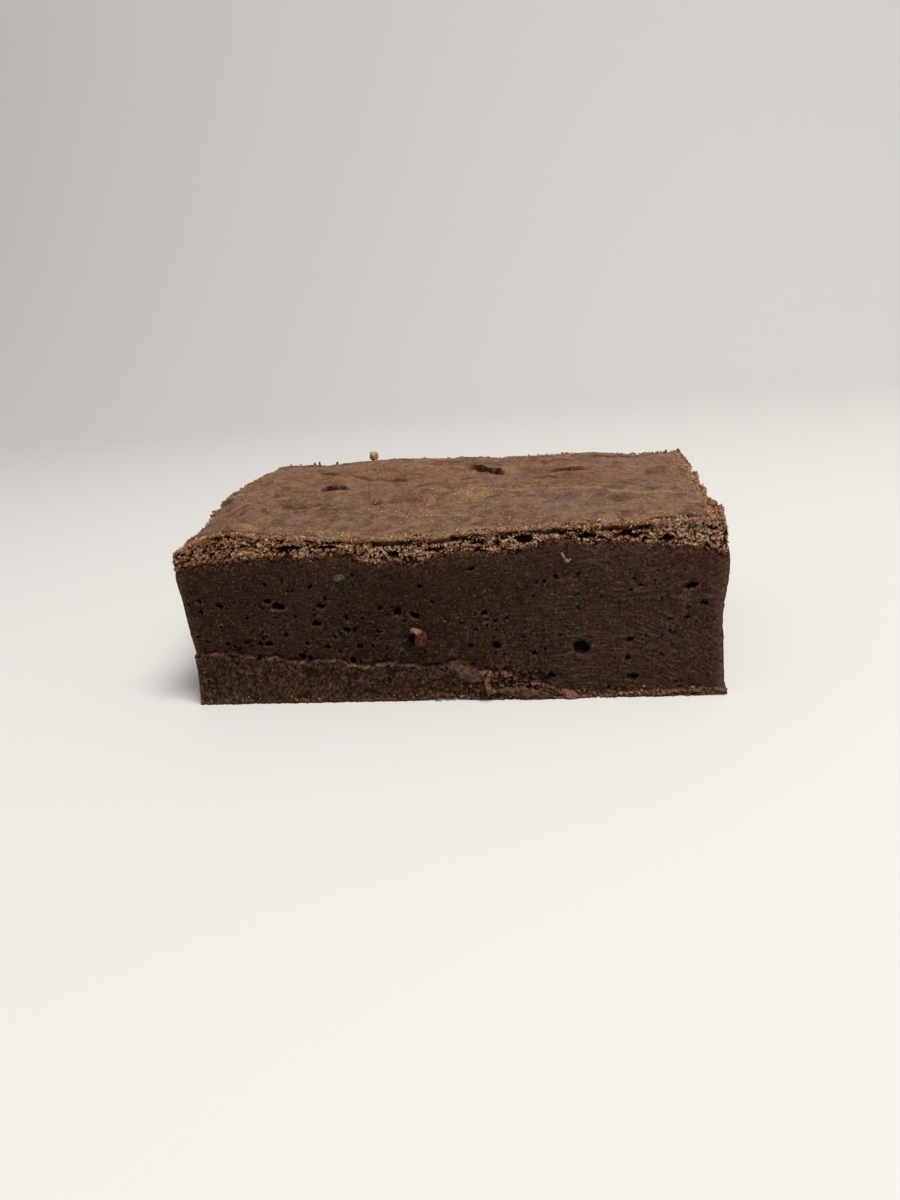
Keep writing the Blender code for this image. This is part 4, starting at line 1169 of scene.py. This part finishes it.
def crust_material():
    """Dry crumb: light golden brown on the grains, dark between them, where painted shade darkens the gaps.
    """
    material, tree, shader = shader_start("crust", 0.85, 0.12)
    fine = noise_node(tree, 0.25, 3)
    colour = ramp_node(tree, attribute_node(tree, "light"),
                       ((0.0, (0.112, 0.047, 0.021)), (0.35, (0.350, 0.182, 0.097)),
                        (0.7, (0.63, 0.405, 0.250)), (1.0, (0.84, 0.63, 0.445))))
    red = mix_node(tree, 1.0, colour, (0.82, 0.66, 0.56), "MULTIPLY")
    along = place_node(tree, "X")
    colour = cover(tree, colour, ((noise_node(tree, 6.0, 3), 0.42, 0.62, 0.9, red),
                                  (along, -30.0 * MM, -38.0 * MM, 0.55, red),
                                  (along, 35.0 * MM, 42.0 * MM, 0.3, red),
                                  (fine, 0.47, 0.66, 0.75, (0.055, 0.020, 0.008))))
    # Painted shade: the shaded holes turn near-black.
    colour = mix_node(tree, attribute_node(tree, "hole_shade"), colour, (0.018, 0.004, 0.001))
    finish_surface(tree, shader, colour, range_node(tree, fine, 0.3, 0.7, 0.7, 0.95), ((fine, 0.9, 0.2),))
    return material


def skin_material():
    """The baked skin: smooth, faintly glossy, mottled from red brown to a grey brown that is painted sheen,
    paler at its rim, with painted shade in tears and creases.
    """
    material, tree, shader = shader_start("skin", 0.5, 0.19)
    broad = noise_node(tree, 7.0, 3)
    mottle = noise_node(tree, 2.0, 4, stretch=(1.2, 1.4, 1))
    fine = noise_node(tree, 0.35, 3)
    specks = noise_node(tree, 0.6, 3, 0.7, stretch=(1, 2, 1))
    wrinkles = noise_node(tree, 0.8, 3, stretch=(1.4, 1.2, 1))
    red = ramp_node(tree, broad, ((0.35, (0.108, 0.0332, 0.0085)), (0.62, (0.186, 0.0727, 0.0240))))
    # The grey ramp is painted sheen, a reflection of the pale surroundings.
    grey_sheen = ramp_node(tree, broad, ((0.35, (0.101, 0.049, 0.0255)), (0.62, (0.153, 0.083, 0.045))))
    colour = mix_node(tree, attribute_node(tree, "grey_sheen"), red, grey_sheen)
    # The crease layer below is painted shade.
    colour = cover(tree, colour, (
        (mottle, 0.50, 0.68, 0.75, (0.25, 0.134, 0.068)), (mottle, 0.47, 0.34, 0.85, (0.058, 0.019, 0.007)),
        (specks, 0.55, 0.64, 0.45, (0.30, 0.165, 0.078)), (specks, 0.45, 0.37, 0.5, (0.060, 0.021, 0.008)),
        (fine, 0.58, 0.74, 0.5, (0.36, 0.205, 0.095)), (fine, 0.46, 0.30, 0.75, (0.065, 0.024, 0.009)),
        (attribute_node(tree, "shaded_crease"), 0.0, 1.0, 0.85, (0.040, 0.011, 0.004)),
        (attribute_node(tree, "rim"), 0.0, 0.8, 0.7, (0.34, 0.195, 0.100))))
    # Painted shade: tears, bare spots and the rim's underside go near-black.
    hole_shade = attribute_node(tree, "hole_shade")
    colour = mix_node(tree, hole_shade, colour, (0.023, 0.0055, 0.0017))
    dull = mix_node(tree, hole_shade, range_node(tree, mottle, 0.3, 0.7, 0.38, 0.56), (1, 1, 1))
    finish_surface(tree, shader, colour, dull,
                   ((mottle, 0.6, 0.5), (wrinkles, 0.8, 0.3), (specks, 0.7, 0.2), (fine, 0.5, 0.15)))
    return material


def crumb_material(name, pale, dark, mottle_mm=0.7):
    """A loose crumb: rough, mottled between two browns."""
    material, tree, shader = shader_start(name, 0.8, 0.12)
    mottle, fine = noise_node(tree, mottle_mm, 3), noise_node(tree, 0.22, 3)
    colour = ramp_node(tree, mottle, ((0.35, dark), (0.65, pale)))
    colour = mix_node(tree, range_node(tree, fine, 0.35, 0.6, 0.5, 0.0), colour, dark)
    finish_surface(tree, shader, colour, range_node(tree, fine, 0.3, 0.7, 0.65, 0.9),
                   ((mottle, 0.6, 0.3), (fine, 0.7, 0.12)))
    return material


# ---------------------------------------------------------------- stage, camera and light

CAMERA_AT = (24.7, -169.3, 63.2)
CAMERA_YAW = -9.65
CAMERA_PITCH = 17.9
CAMERA_ROLL = -5.2
CAMERA_LENS = 27.0


def camera():
    """The camera stands close in front, looks down at the brownie and leans a little."""
    yaw, pitch, roll = (math.radians(a) for a in (CAMERA_YAW, CAMERA_PITCH, CAMERA_ROLL))
    forward = Vector((math.sin(yaw) * math.cos(pitch), math.cos(yaw) * math.cos(pitch), -math.sin(pitch)))
    level_right = Vector((math.cos(yaw), -math.sin(yaw), 0.0))
    level_up = level_right.cross(forward)
    right = math.cos(roll) * level_right + math.sin(roll) * level_up
    up = -math.sin(roll) * level_right + math.cos(roll) * level_up
    data = bpy.data.cameras.new("camera")
    data.lens = CAMERA_LENS
    data.sensor_width = 36.0
    data.clip_start = 0.002
    made = bpy.data.objects.new("camera", data)
    turn = Matrix((right, up, -forward)).transposed()
    made.matrix_world = Matrix.Translation(Vector(CAMERA_AT) * MM) @ turn.to_4x4()
    bpy.context.scene.collection.objects.link(made)
    bpy.context.scene.camera = made


def backdrop():
    """A pale floor that curves up into a wall behind the brownie, in one sheet."""
    near, far, bend, high, half = -1.2, 0.75, 0.35, 1.6, 1.6
    outline = [(near, 0.0), (far - bend, 0.0)]
    for step in range(1, 17):
        angle = step / 16 * math.pi / 2
        outline.append((far - bend + bend * math.sin(angle), bend - bend * math.cos(angle)))
    outline.append((far, high))
    mesh = bpy.data.meshes.new("backdrop")
    points = [(x, y, z) for y, z in outline for x in (-half, half)]
    faces = [(2 * i, 2 * i + 1, 2 * i + 3, 2 * i + 2) for i in range(len(outline) - 1)]
    mesh.from_pydata(points, [], faces)
    mesh.shade_smooth()
    material, _, shader = shader_start("pale_backdrop", 0.9, 0.2)
    shader.inputs["Base Color"].default_value = (0.71, 0.70, 0.68, 1.0)
    mesh.materials.append(material)
    sheet = bpy.data.objects.new("backdrop", mesh)
    bpy.context.scene.collection.objects.link(sheet)


def light(name, at, size, power, colour):
    data = bpy.data.lights.new(name, "AREA")
    data.shape = "RECTANGLE"
    data.size, data.size_y = size
    data.energy = power
    data.color = colour
    made = bpy.data.objects.new(name, data)
    made.location = at
    made.rotation_euler = (-Vector(at)).to_track_quat("-Z", "Y").to_euler()
    bpy.context.scene.collection.objects.link(made)


def lighting():
    """Soft light from above, a little to the right, and a dim even surround."""
    light("key", (0.30, -0.30, 0.90), (0.42, 0.42), 9.6, (1.0, 0.985, 0.96))
    world = bpy.data.worlds.new("surround")
    bpy.context.scene.world = world
    world.use_nodes = True
    background = world.node_tree.nodes["Background"]
    background.inputs["Color"].default_value = (1.0, 0.99, 0.97, 1.0)
    background.inputs["Strength"].default_value = 0.37
    bpy.context.scene.view_settings.view_transform = "Standard"


camera()
backdrop()
lighting()
crust = crust_material()
fudge_piece()
crust_piece(crust)
skin_piece()
crust_grains(crust)
skin_crumbs()
face_crumbs(crust)
stuck_pieces()
